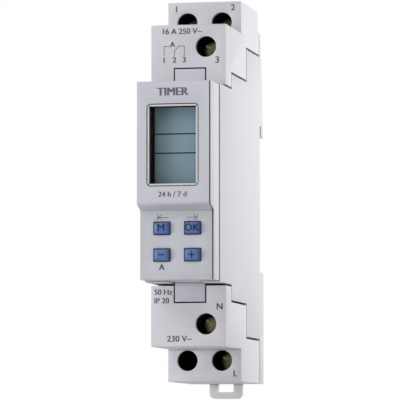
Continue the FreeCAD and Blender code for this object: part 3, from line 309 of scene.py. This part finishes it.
def display_finish():
    """The panel's grey green, with the fine mesh of its electrodes."""
    f = Finish("display_glass")
    cloud = f.noise(9 * MM, 2.0)
    mesh = f.noise(0.12 * MM, 0.0)
    rise = f.clamp(f.height() * (1 / DISPLAY_TOP))
    tone = f.blend(rise, rgb(0.36, 0.53, 0.62), rgb(0.34, 0.52, 0.62))
    tone = f.blend(cloud * 0.25, tone, rgb(0.30, 0.46, 0.55))
    tone = f.blend(mesh * 0.10, tone, rgb(0.50, 0.64, 0.70))
    return f.set(Base_Color=tone, Roughness=0.42 + mesh * 0.10, Normal=f.bump(mesh, 0.001 * MM),
                 Specular_IOR_Level=0.25)


def window_finish():
    """A pane that is nearly all alpha, with fine wiping scratches."""
    f = Finish("window_clear")
    haze = f.noise(5 * MM, 2.0)
    scratch = f.noise(0.3 * MM, 2.0, (1.0, 1.0, 0.05))
    tone = f.blend(haze, rgb(0.02, 0.02, 0.03), rgb(0.05, 0.05, 0.06))
    return f.set(Base_Color=tone, Roughness=0.08 + haze * 0.06, Alpha=0.04 + haze * 0.02, IOR=1.49,
                 Normal=f.bump(scratch, 0.0005 * MM))


display_glass = display_finish()
window_clear = window_finish()
print("display and window ready")

# %% [markdown]
# ## Boards and inks
# A circuit board's solder mask is a deep green varnish over raised copper tracks, which a brick
# pattern lays out in blocks. Printing ink is matt and never quite even, so one noise moves both its
# tone and its roughness.


# %% Board and ink
def board_finish():
    """Green varnish over tracks."""
    f = Finish("board_green")
    layout = {"Vector": f.place(), "Scale": 420.0, "Mortar Size": 0.012}
    lines = f.node("ShaderNodeTexBrick", layout, output=1)
    cloud = f.noise(6 * MM, 2.0)
    tone = f.blend(lines, rgb(0.02, 0.16, 0.06), rgb(0.05, 0.30, 0.12))
    tone = f.blend(cloud * 0.3, tone, rgb(0.02, 0.12, 0.05))
    return f.set(Base_Color=tone, Roughness=0.3 + cloud * 0.1, Normal=f.bump(lines, 0.02 * MM))


def ink(name, colour):
    """A thin, slightly blotchy film of ink."""
    f = Finish(name)
    patch = f.noise(0.25 * MM, 2.0)
    tone = f.blend(patch, shade(colour, 0.9), shade(colour, 1.25))
    return f.set(Base_Color=tone, Roughness=0.55 + patch * 0.15, Normal=f.bump(patch, 0.001 * MM))


board_green = board_finish()
ink_grey = ink("ink_grey", rgb(0.13, 0.13, 0.17))
ink_navy = ink("ink_navy", rgb(0.012, 0.030, 0.13))
ink_display = ink("ink_display", rgb(0.004, 0.022, 0.032))
# white ink for the painted highlight round the window's pane
rim_highlight_white = ink("rim_highlight_white", rgb(0.80, 0.80, 0.82))
print("board and inks ready")

# %% [markdown]
# ## Rounding what the mould rounds
# The frame's parts have sharp edges, and nothing moulded or stamped does: light catches a radius
# of a tenth of a millimetre. The part's mesh is copied, its flat triangles are joined back into
# faces, and a Bevel modifier rounds each edge. Its hardened normals keep the flats flat.

# %% Meshes from bmesh, curves and modifiers
bodies = frame["record"]["behaviour"]["bodies"]
BODY = {node: body for body, members in bodies.items() for node in members}


def finished_mesh(thing):
    """The mesh that an object makes, with its modifiers or its curve worked out."""
    bpy.context.view_layer.update()
    graph = bpy.context.evaluated_depsgraph_get()
    return bpy.data.meshes.new_from_object(thing.evaluated_get(graph), depsgraph=graph)


def bake_modifiers(piece):
    """Keep the mesh that the modifiers make, without the modifiers."""
    done = finished_mesh(piece)
    piece.modifiers.clear()
    piece.data = done
    return piece


def from_curve(curve):
    """The mesh that a curve or a text makes."""
    holder = bpy.data.objects.new("holder", curve)
    bpy.context.scene.collection.objects.link(holder)
    mesh = finished_mesh(holder)
    bpy.data.objects.remove(holder)
    return mesh


def to_mesh(work, name):
    """A new mesh from a finished bmesh."""
    mesh = bpy.data.meshes.new(name)
    work.to_mesh(mesh)
    work.free()
    return mesh


def show(name, mesh, material, body, node=None):
    """Put a mesh in the scene, on its body, and in place of its node."""
    piece = bpy.data.objects.new(name, mesh)
    bpy.context.scene.collection.objects.link(piece)
    mesh.materials.clear()
    mesh.materials.append(material)
    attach(piece, body)
    if node:
        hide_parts(node)
    return piece


def smooth(mesh):
    """Shade across the faces, not face by face."""
    mesh.polygons.foreach_set("use_smooth", [True] * len(mesh.polygons))


# %% Copies of the frame's parts with real edges
WELD = 0.002 * MM
FLAT_ANGLE = math.radians(1)
SHARP_ANGLE = math.radians(32)


def round_edges(piece, width, steps, sharp=SHARP_ANGLE):
    """Round every edge that turns by more than the sharp angle."""
    bevel = piece.modifiers.new("edges", "BEVEL")
    bevel.limit_method = "ANGLE"
    bevel.angle_limit = sharp
    bevel.width = width
    bevel.segments = steps
    return bevel


def rounded(node, material, width, steps=2):
    """The node's own shape with every sharp edge rounded."""
    work = bmesh.new()
    work.from_mesh(frame["nodes"][node].data)
    bmesh.ops.remove_doubles(work, verts=work.verts, dist=WELD)
    bmesh.ops.dissolve_limit(work, angle_limit=FLAT_ANGLE, verts=work.verts, edges=work.edges)
    mesh = to_mesh(work, node)
    smooth(mesh)
    piece = show(node + "_piece", mesh, material, BODY[node], node)
    round_edges(piece, width, steps).harden_normals = True
    return bake_modifiers(piece)


shells = {
    "main_housing": housing_grey, "upper_terminal_housing": housing_grey,
    "lower_terminal_housing": housing_grey, "front_cover": cover_grey,
}
for part, finish in shells.items():
    made = rounded(part, finish, 0.18 * MM, 3)
    print(part, "faces:", len(made.data.polygons))

# %% [markdown]
# ## Room for the ink
# Printing stands a hundredth of a millimetre proud of the plastic. The display face is the
# frontmost surface of the timer, so the cover's skin there steps back by twice that, and the
# whole object stays within its size.

# %% The display face steps back a hair
PUSH_BACK = 0.02 * MM
cover = bpy.data.objects["front_cover_piece"]
front_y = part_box("front_cover")[0].y
for vertex in cover.data.vertices:
    if vertex.co.y < front_y + PUSH_BACK:
        vertex.co.y = front_y + PUSH_BACK
print("cover front at", round(front_y / MM, 2), "mm")

# %% [markdown]
# ## The parts behind the holes and inside
# Terminal carriers, cages, bars and the boards are stamped or moulded pieces with plain shapes.
# They get the same rounding with a smaller radius, in the finish that each one has.

# %% Inner parts
inner = {
    carrier_black: ["upper_terminal_carrier", "lower_terminal_carrier", "display_frame",
                    "push_switches", "board_connector", "microcontroller", "bridge_rectifier"],
    cage_steel: ["cage_1", "cage_2", "cage_3", "cage_n", "cage_l", "cell_tabs", "reserve_cell",
                 "clock_crystal", "relay_core", "relay_yoke", "relay_armature"],
    bar_copper: ["bar_1", "bar_2", "bar_3", "bar_n", "bar_l", "contact_blade", "contact_closed",
                 "contact_open", "relay_coil"],
    board_green: ["display_board", "main_board"],
    diffuser_white: ["display_diffuser", "relay_bobbin", "pusher_card"],
    strip_rubber: ["contact_strips"],
    plunger_brown: ["plunger_menu", "plunger_ok", "plunger_minus", "plunger_plus"],
    box_yellow: ["mains_capacitor"],
    sleeve_dark: ["smoothing_capacitor", "varistor", "fusible_resistor"],
    relay_blue: ["relay_base", "relay_case"],
}
for finish, names in inner.items():
    for part in names:
        rounded(part, finish, 0.06 * MM)
rounded("rail_latch", latch_white, 0.25 * MM, 3)
rounded("lcd_panel", display_glass, 0.05 * MM)
print("inner parts:", sum(len(names) for names in inner.values()))

# %% [markdown]
# ## The window's pane
# The pane drops into a seat in the cover, and the joint round it is wide enough to show as a dark
# line. The drawn pane fills its seat, so the copy shrinks towards its middle by the width of that
# joint, and its face steps back with the cover's.

# %% A pane with a joint round it
PANE_GAP = 0.18 * MM
pane = rounded("display_window", window_clear, 0.08 * MM)
low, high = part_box("display_window")
middle = (low + high) / 2
for vertex in pane.data.vertices:
    for axis in (0, 2):
        share = 1 - PANE_GAP / (high[axis] - middle[axis])
        vertex.co[axis] = middle[axis] + (vertex.co[axis] - middle[axis]) * share
    vertex.co.y = max(vertex.co.y, front_y + PUSH_BACK)
print("joint round the pane:", PANE_GAP / MM, "mm")

# %% [markdown]
# ## Keys
# Each key is one moulding: a stem on the switch, a flange behind the cover, and a cap with
# round corners, sloping sides and a slightly crowned face, so a fingertip finds it. It is lofted
# through rounded rectangles, ring by ring, which keeps the corners even all the way round.

# %% Lofted keys
KEY_CROWN = 0.08 * MM
CROWN_CORNER = 0.35 * MM
KEY_EDGE = 0.28 * MM
KEY_SLOPE = 0.36 * MM
KEY_PROUD = 1.2 * MM
CAP_CORNER = 0.38 * MM
FLANGE_BACK = 2.8 * MM
FLANGE_THICK = 0.6 * MM
FLANGE_LIP = 0.5 * MM
FLANGE_CORNER = 0.5 * MM
STEM = 1.0 * MM
STEP = 0.02 * MM


def ring(centre, y, half_width, half_height, corner, steps=6):
    """Points of a rounded rectangle that faces along Y."""
    points = []
    for quarter in range(4):
        side_x = 1 if quarter in (0, 3) else -1
        side_z = 1 if quarter in (0, 1) else -1
        for step in range(steps + 1):
            angle = math.pi / 2 * (quarter + step / steps)
            x = centre.x + side_x * (half_width - corner) + corner * math.cos(angle)
            z = centre.z + side_z * (half_height - corner) + corner * math.sin(angle)
            points.append(Vector((x, y, z)))
    return points


def loft(rings):
    """A closed mesh through rings with the same number of points."""
    work = bmesh.new()
    rows = [[work.verts.new(point) for point in points] for points in rings]
    for low, high in zip(rows, rows[1:]):
        for i, _ in enumerate(low):
            j = (i + 1) % len(low)
            work.faces.new((low[i], low[j], high[j], high[i]))
    work.faces.new(list(reversed(rows[0])))
    work.faces.new(rows[-1])
    bmesh.ops.recalc_face_normals(work, faces=work.faces)
    mesh = to_mesh(work, "loft")
    smooth(mesh)
    return mesh


def key(name):
    """One key, from the face of its cap back to the end of its stem."""
    low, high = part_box(f"key_{name}")
    centre = (low + high) / 2
    face, flange = low.y, low.y + FLANGE_BACK
    back = flange + FLANGE_THICK
    flange_x, flange_z = (high.x - low.x) / 2, (high.z - low.z) / 2
    cap_x, cap_z = flange_x - FLANGE_LIP, flange_z - FLANGE_LIP
    top_x, top_z = cap_x - KEY_SLOPE, cap_z - KEY_SLOPE * 0.7
    rings = []
    for part in (0.15, 0.45, 0.70):
        sink = KEY_CROWN * part * part
        rings.append(ring(centre, face + sink, top_x * part, top_z * part, CROWN_CORNER * part))
    for step in range(5):
        angle = math.pi / 2 * step / 4
        pull = KEY_EDGE * (1 - math.sin(angle))
        drop = KEY_CROWN + KEY_EDGE * (1 - math.cos(angle))
        rings.append(ring(centre, face + drop, top_x - pull, top_z - pull, CAP_CORNER))
    rings.append(ring(centre, face + KEY_PROUD, cap_x, cap_z, CAP_CORNER))
    rings.append(ring(centre, flange, cap_x, cap_z, CAP_CORNER))
    rings.append(ring(centre, flange + STEP, flange_x, flange_z, FLANGE_CORNER))
    rings.append(ring(centre, back - STEP, flange_x, flange_z, FLANGE_CORNER))
    rings.append(ring(centre, back, STEM, STEM, STEM * 0.99))
    rings.append(ring(centre, high.y, STEM, STEM, STEM * 0.99))
    return show(f"key_{name}_piece", loft(rings), key_blue, f"key_{name}", f"key_{name}")


for label in ("menu", "ok", "minus", "plus"):
    made = key(label)
    print(made.name, len(made.data.vertices), "vertices")

# %% [markdown]
# ## Terminal screws
# A turned head with a rounded rim and a combined cross and slot, over a rolled thread. The head
# is a profile spun round the screw's axis, the drive is cut with a Boolean, and the thread is a
# surface whose radius follows the pitch as it goes round.

# %% Round work: turned heads and rolled threads
PITCH = 0.6 * MM
ROUND = 48
ROWS_PER_TURN = 8
THREAD_RADIUS = 1.7 * MM
THREAD_DEPTH = 0.32 * MM
LEAD_IN = 0.25 * MM
LEAD_ROWS = 6


def circle_row(work, centre, y, radius_at):
    """A ring of points about Y; radius_at gives the radius at a share of a turn."""
    row = []
    for i in range(ROUND):
        radius, angle = radius_at(i / ROUND), 2 * math.pi * i / ROUND
        x, z = centre.x + radius * math.cos(angle), centre.z + radius * math.sin(angle)
        row.append(work.verts.new((x, y, z)))
    return row


def skin(work, rows, name):
    """Faces between neighbouring rings, as a smooth closed mesh."""
    for low, high in zip(rows, rows[1:]):
        for i in range(ROUND):
            j = (i + 1) % ROUND
            corners = dict.fromkeys((low[i], low[j], high[j], high[i]))
            work.faces.new(list(corners))
    for end in (rows[0], rows[-1]):
        if end[0] is not end[1]:
            work.faces.new(end)
    bmesh.ops.recalc_face_normals(work, faces=work.faces)
    mesh = to_mesh(work, name)
    smooth(mesh)
    return mesh


def spin(profile, centre):
    """A closed surface of revolution about Y from (radius, y) pairs that start and end at 0."""
    work = bmesh.new()
    rows = []
    for radius, y in profile:
        if radius == 0:
            rows.append([work.verts.new((centre.x, y, centre.z))] * ROUND)
        else:
            rows.append(circle_row(work, centre, y, lambda share: radius))
    return skin(work, rows, "head")


def thread(centre, start, end):
    """A closed helical thread between two heights, which tapers into its tip."""
    work = bmesh.new()
    count = int((end - start) / PITCH * ROWS_PER_TURN)
    rows = []
    for k in range(count + 1):
        y = start + (end - start) * k / count
        fade = min(1.0, (count - k) / LEAD_ROWS)

        def radius_at(share):
            wave = abs(((y / PITCH - share) % 1.0) * 2 - 1)
            return THREAD_RADIUS - THREAD_DEPTH * (1 - wave) - LEAD_IN * (1 - fade)

        rows.append(circle_row(work, centre, y, radius_at))
    return skin(work, rows, "thread")


def merge(meshes):
    """One mesh from several."""
    work = bmesh.new()
    for mesh in meshes:
        work.from_mesh(mesh)
    return to_mesh(work, "merged")


print("pitch:", PITCH / MM, "mm")

# %% Screws with a cross and slot drive
HEAD_HEIGHT = 1.3 * MM
DRIVE_DEPTH = 0.75 * MM
DRIVE_WIDTH = 0.62 * MM
DRIVE_TURN = math.radians(35)
DRIVE_LENGTHS = (1.8, 1.15)
SCREW_EDGE = 0.04 * MM
SCREW_SHARP = math.radians(50)
THREAD_JOIN = 0.05 * MM


def cut_drive(piece, at, length, turn):
    """One arm of the drive, cut into the head."""
    work = bmesh.new()
    size = Matrix.Diagonal((length, DRIVE_DEPTH * 2, DRIVE_WIDTH, 1))
    place = Matrix.Translation(at) @ Matrix.Rotation(turn, 4, "Y") @ size
    bmesh.ops.create_cube(work, size=1.0, matrix=place)
    cutter = bpy.data.objects.new("cutter", to_mesh(work, "cutter"))
    bpy.context.scene.collection.objects.link(cutter)
    cut = piece.modifiers.new("drive", "BOOLEAN")
    cut.operation, cut.object, cut.solver = "DIFFERENCE", cutter, "EXACT"
    bake_modifiers(piece)
    bpy.data.objects.remove(cutter)


def screw(name):
    """Head with its drive cut in, then the threaded shank."""
    low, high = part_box(f"screw_{name}")
    centre = (low + high) / 2
    radius = (high.x - low.x) / 2
    top, under = low.y, low.y + HEAD_HEIGHT
    head = spin([(0, top + 0.02 * MM), (radius * 0.5, top), (radius * 0.82, top + 0.06 * MM),
                 (radius * 0.94, top + 0.18 * MM), (radius, top + 0.42 * MM),
                 (radius, under - 0.1 * MM), (radius - 0.1 * MM, under), (0, under)], centre)
    piece = show(f"screw_{name}_piece", head, screw_plated, f"screw_{name}", f"screw_{name}")
    for arm, share in enumerate(DRIVE_LENGTHS):
        turn = DRIVE_TURN + arm * math.pi / 2
        cut_drive(piece, Vector((centre.x, top, centre.z)), radius * share, turn)
    round_edges(piece, SCREW_EDGE, 2, SCREW_SHARP)
    bake_modifiers(piece)
    shank = thread(centre, under - THREAD_JOIN, high.y)
    piece.data = merge([piece.data, shank])
    piece.data.materials.append(screw_plated)
    smooth(piece.data)
    return piece


for label in ("1", "2", "3", "n", "l"):
    made = screw(label)
    print(made.name, len(made.data.polygons), "faces")

# %% [markdown]
# ## Latch spring
# Round wire on a helix. A curve with a bevel is the natural way to draw wire, and its ends are
# closed turns, so it stands on the peg without tipping.

# %% The spring
WIRE = 0.15 * MM
TURNS = 9
POINTS_PER_TURN = 16
CLOSED_END = 0.08
low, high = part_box("latch_spring")
centre = (low + high) / 2
coil_radius = (high.x - low.x) / 2 - WIRE
free_length = high.z - low.z
curve = bpy.data.curves.new("latch_spring_wire", "CURVE")
curve.dimensions = "3D"
curve.bevel_depth = WIRE
curve.bevel_resolution = 3
curve.use_fill_caps = True
spline = curve.splines.new("NURBS")
spline.points.add(TURNS * POINTS_PER_TURN)
for i, point in enumerate(spline.points):
    t = i / (len(spline.points) - 1)
    rise = min(1.0, max(0.0, (t - CLOSED_END) / (1 - 2 * CLOSED_END)))
    angle = 2 * math.pi * TURNS * t
    x, y = centre.x + coil_radius * math.cos(angle), centre.y + coil_radius * math.sin(angle)
    point.co = (x, y, low.z + WIRE + (free_length - 2 * WIRE) * rise, 1)
spline.order_u = 4
spline.use_endpoint_u = True
mesh = from_curve(curve)
smooth(mesh)
spring = show("latch_spring_piece", mesh, spring_steel, "timer", "latch_spring")
print("spring turns:", TURNS, "free length:", round(free_length / MM, 2), "mm")

# %% [markdown]
# The latch presses the spring against its peg, so the spring shortens by as much as the latch
# travels. Here that travel is worked out, and the spring gets a mesh of its own.

# %% The latch's travel, and the spring's own mesh
pull = next(joint for joint in frame["joints"] if joint["name"] == "latch_pull")
travel = max(pull["range_m"])
1 - travel / free_length
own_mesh(spring)
print("spring travel:", round(travel / MM, 2), "mm")

# %% [markdown]
# ## Printing
# Pad printing is a thin film of ink, a hundredth of a millimetre thick. Letters come from text
# curves turned into meshes. Growing a text curve's outline folds its sharp corners over, so bold
# letters are three copies side by side, the outer two a hair behind. Symbols are strokes of one
# pen width. The words are plain ones: ratings, terminal numbers, and what the keys do.

# %% Letters and strokes of ink
FILM = 0.01 * MM
CAPITAL_SHARE = 0.73
BEHIND = 0.001


def letters(text, height, at, face, align="CENTER", bold=0.05, film=FILM):
    """Raised letters on a face that looks along -Y; height, at and bold are in millimetres."""
    curve = bpy.data.curves.new("letters", "FONT")
    curve.body = text
    curve.align_x = align
    curve.align_y = "CENTER"
    curve.extrude = 0.5
    curve.resolution_u = 4
    mesh = from_curve(curve)
    scale = height * MM / CAPITAL_SHARE
    turn = Matrix.Rotation(math.pi / 2, 4, "X")
    flat = Matrix.Diagonal((scale, scale, film, 1))
    mesh.transform(Matrix.Translation((at[0] * MM, face - film / 2, at[1] * MM)) @ turn @ flat)
    copies = [mesh]
    for shift in (-bold, bold):
        copy = mesh.copy()
        copy.transform(Matrix.Translation((shift * MM, bold * BEHIND * MM, 0)))
        copies.append(copy)
    return merge(copies)


def strokes(lines, width, face, film=FILM):
    """Thin bars of ink along lines of (x, z) points in millimetres."""
    work = bmesh.new()
    half = width * MM / 2
    for line in lines:
        for start, end in zip(line, line[1:]):
            a = Vector((start[0] * MM, 0, start[1] * MM))
            b = Vector((end[0] * MM, 0, end[1] * MM))
            along = (b - a).normalized() * half
            side = Vector((-along.z, 0, along.x))
            corners = [a - along + side, a - along - side, b + along - side, b + along + side]
            front = [work.verts.new(c + Vector((0, face - film, 0))) for c in corners]
            back = [work.verts.new(c + Vector((0, face, 0))) for c in corners]
            work.faces.new(front)
            work.faces.new(list(reversed(back)))
            for i in range(4):
                j = (i + 1) % 4
                work.faces.new((front[j], front[i], back[i], back[j]))
    bmesh.ops.recalc_face_normals(work, faces=work.faces)
    return to_mesh(work, "strokes")


DISPLAY_STEP = 3.5 * MM
TIER_STEP = 18.3 * MM
display_face = front_y + PUSH_BACK
key_face = front_y + DISPLAY_STEP
near_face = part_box("upper_terminal_housing")[0].y
far_face = near_face + TIER_STEP
printed = (display_face, key_face, near_face, far_face)
print("printing faces at", [round(y / MM, 2) for y in printed])

# %% The cover's printing
arrow_left = [[(-4.55, -9.0), (-4.55, -7.7)], [(-4.35, -8.35), (-2.1, -8.35)],
              [(-3.75, -7.85), (-4.4, -8.35), (-3.75, -8.85)]]
arrow_right = [[(4.7, -9.0), (4.7, -7.7)], [(2.3, -8.35), (4.5, -8.35)],
               [(3.9, -7.85), (4.55, -8.35), (3.9, -8.85)]]
cover_ink = merge([
    letters("TIMER", 1.9, (-0.3, 20.0), display_face, bold=0.12),
    letters("24 h / 7 d", 1.25, (-0.3, -3.35), display_face),
    strokes(arrow_left + arrow_right, 0.13, key_face),
    letters("A", 1.4, (-3.55, -19.75), key_face),
])
show("cover_printing", cover_ink, ink_grey, "timer")
print("cover printing faces:", len(cover_ink.polygons))

# %% The terminals' printing
switch_symbol = [
    [(-5.75, 30.2), (-5.75, 32.35), (-4.55, 32.35)],
    [(-3.3, 30.2), (-3.3, 31.2), (-2.15, 32.55)],
    [(-2.0, 32.35), (-0.95, 32.35), (-0.95, 30.2)],
]
terminal_ink = merge([
    letters("16 A 250 V~", 1.35, (-1.6, 35.75), near_face),
    strokes(switch_symbol, 0.14, near_face),
    letters("A", 1.25, (-3.75, 32.7), near_face),
    letters("1", 1.35, (-5.75, 29.1), near_face),
    letters("2", 1.35, (-3.3, 29.1), near_face),
    letters("3", 1.35, (-0.95, 29.1), near_face),
    letters("3", 1.6, (6.85, 28.9), near_face),
    letters("1", 1.5, (-6.8, 43.35), far_face),
    letters("2", 1.5, (6.9, 43.5), far_face),
    letters("50 Hz", 1.3, (-8.1, -24.8), near_face, "LEFT"),
    letters("IP 20", 1.3, (-8.1, -26.8), near_face, "LEFT"),
    letters("N", 1.5, (7.4, -28.2), near_face),
    letters("230 V~", 1.45, (-2.1, -35.6), near_face),
    letters("L", 1.5, (7.35, -43.2), far_face),
])
show("terminal_printing", terminal_ink, ink_grey, "timer")
print("terminal printing faces:", len(terminal_ink.polygons))

# %% The keys' printing
KEY_FILM = 0.10 * MM
KEY_FILM_PROUD = 0.02 * MM
KEY_PEN = 0.26
SIGNS = {"menu": "M", "ok": "OK", "minus": "-", "plus": "+"}
for label, sign in SIGNS.items():
    low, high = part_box(f"key_{label}")
    x, z = (low.x + high.x) / 2 / MM, (low.z + high.z) / 2 / MM
    face = low.y + KEY_FILM - KEY_FILM_PROUD
    if sign.isalpha():
        mark = letters(sign, 1.75, (x, z), face, film=KEY_FILM)
    else:
        bars = [[(x - 0.55, z), (x + 0.55, z)]]
        if sign == "+":
            bars.append([(x, z - 0.75), (x, z + 0.75)])
        mark = strokes(bars, KEY_PEN, face, KEY_FILM)
    show(f"key_{label}_mark", mark, ink_navy, f"key_{label}")
print("key marks:", len(SIGNS))

# %% [markdown]
# ## Lines and borders of the display
# Two rules part the display's three rows, and a black border on each side hides where the glass
# meets its frame. Round the window, where the pane stands on its ledge, runs a white ring: a
# painted highlight along the pane's rim.

# %% Rules, border and rim
RULE_HEIGHTS = (10.8, 6.4)
RULE_INSET = 0.3
RULE_WIDTH = 0.3
BORDER_WIDTH = 1.5
RIM_HALF = 0.19
low, high = (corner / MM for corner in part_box("lcd_panel"))
glass_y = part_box("lcd_panel")[0].y
left, right = low.x + RULE_INSET, high.x - RULE_INSET
rules = strokes([[(left, z), (right, z)] for z in RULE_HEIGHTS], RULE_WIDTH, glass_y)
show("display_rules", rules, ink_display, "timer")
bands = [[(x, low.z + 0.1), (x, high.z - 0.1)] for x in (low.x + 0.9, high.x - 0.7)]
border = strokes(bands, BORDER_WIDTH, glass_y - FILM)
show("display_border", border, carrier_black, "timer")
low, high = (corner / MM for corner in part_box("display_window"))
inset = PANE_GAP / MM + RIM_HALF
left, right, bottom, top = low.x + inset, high.x - inset, low.z + inset, high.z - inset
loop = [(left, bottom), (right, bottom), (right, top), (left, top), (left, bottom)]
# painted highlight: a white ring along the pane's rim, where it stands on its ledge
rim_highlight = strokes([loop], RIM_HALF * 2, front_y + 3 * PUSH_BACK)
show("window_rim", rim_highlight, rim_highlight_white, "timer")
print("rules, border and rim ready")

# %% [markdown]
# ## Floor
# The timer hangs from its rail, so the floor lies a little below it. It is a plain pale sheet, and
# the light that it throws back softens what faces down.

# %% A pale floor below the timer
FLOOR_BELOW = 26 * MM
lowest = cad_box[0][2]
work = bmesh.new()
bmesh.ops.create_grid(work, x_segments=8, y_segments=8, size=3.0)
floor = bpy.data.objects.new("floor", to_mesh(work, "floor"))
floor.location = (0, 0, lowest - FLOOR_BELOW)
bpy.context.scene.collection.objects.link(floor)
f = Finish("pale_floor")
cloud = f.noise(60 * MM, 2.0)
tone = f.blend(cloud, rgb(0.66, 0.66, 0.66), rgb(0.69, 0.69, 0.69))
floor.data.materials.append(f.set(Base_Color=tone, Roughness=0.8 + cloud * 0.1))
print("floor at", round(floor.location.z / MM, 1), "mm")

# %% [markdown]
# ## Light
# Three soft squares of light in a pale surround. The strongest stands low on the left. Its lower
# half is below the floor, so only the upper part lights the timer, almost level, and leaves the
# keys' right sides darker. One above the front shades the steps from the top, and one behind on
# the right grazes the side wall, which brightens towards the rail. The surround is brightest
# behind the timer.

# %% Lamps and surround
AIM = Vector((0, -0.02, 0))


def soft_light(name, at, size, power):
    """A square lamp aimed at the timer."""
    light = bpy.data.lights.new(name, "AREA")
    light.shape, light.size, light.energy = "SQUARE", size, power
    lamp = bpy.data.objects.new(name, light)
    lamp.location = at
    lamp.rotation_euler = (AIM - Vector(at)).to_track_quat("-Z", "Y").to_euler()
    bpy.context.scene.collection.objects.link(lamp)


soft_light("right_light", (0.26, 0.36, 0.14), 0.3, 1.15)
soft_light("front_light", (-0.35, -0.80, 0.62), 0.6, 2.2)
soft_light("left_light", (-0.66, -0.52, -0.10), 0.4, 6.0)
world = bpy.data.worlds.new("surround")
world.use_nodes = True
sky = world.node_tree
looking = sky.nodes.new("ShaderNodeTexCoord")
parts = sky.nodes.new("ShaderNodeSeparateXYZ")
fade = sky.nodes.new("ShaderNodeMapRange")
fade.interpolation_type = "SMOOTHSTEP"
fade_range = {"From Min": 0.15, "From Max": 0.75, "To Min": 0.30, "To Max": 1.0}
for socket, value in fade_range.items():
    fade.inputs[socket].default_value = value
sky.links.new(looking.outputs["Generated"], parts.inputs["Vector"])
sky.links.new(parts.outputs["Y"], fade.inputs["Value"])
sky.links.new(fade.outputs["Result"], sky.nodes["Background"].inputs["Strength"])
sky.nodes["Background"].inputs["Color"].default_value = rgb(1, 1, 1)
bpy.context.scene.world = world
bpy.context.scene.view_settings.view_transform = "Standard"
print("lamps:", len(bpy.data.lights))

# %% [markdown]
# ## Camera
# A long lens from about 0.8 m away keeps the upright edges close to parallel. It stands a little
# to the right and a little low, so the right side and the undersides of the steps show.

# %% Camera
EYE = Vector((167.35, -819.76, -63.93)) * MM
TILT_UP = math.radians(4.344)
TURN_LEFT = math.radians(11.945)
camera_data = bpy.data.cameras.new("camera")
camera_data.sensor_width = 36.0
camera_data.lens = 310.7
camera = bpy.data.objects.new("camera", camera_data)
camera.location = EYE
camera.rotation_euler = (math.pi / 2 + TILT_UP, 0, TURN_LEFT)
bpy.context.scene.collection.objects.link(camera)
bpy.context.scene.camera = camera
print("camera at", [round(c, 3) for c in EYE])

# %% [markdown]
# ## The frame's size
# The frame's box is printed in millimetres.

# %% The frame's box, and the end
print("cad", [[round(v / MM, 2) for v in c] for c in cad_box])
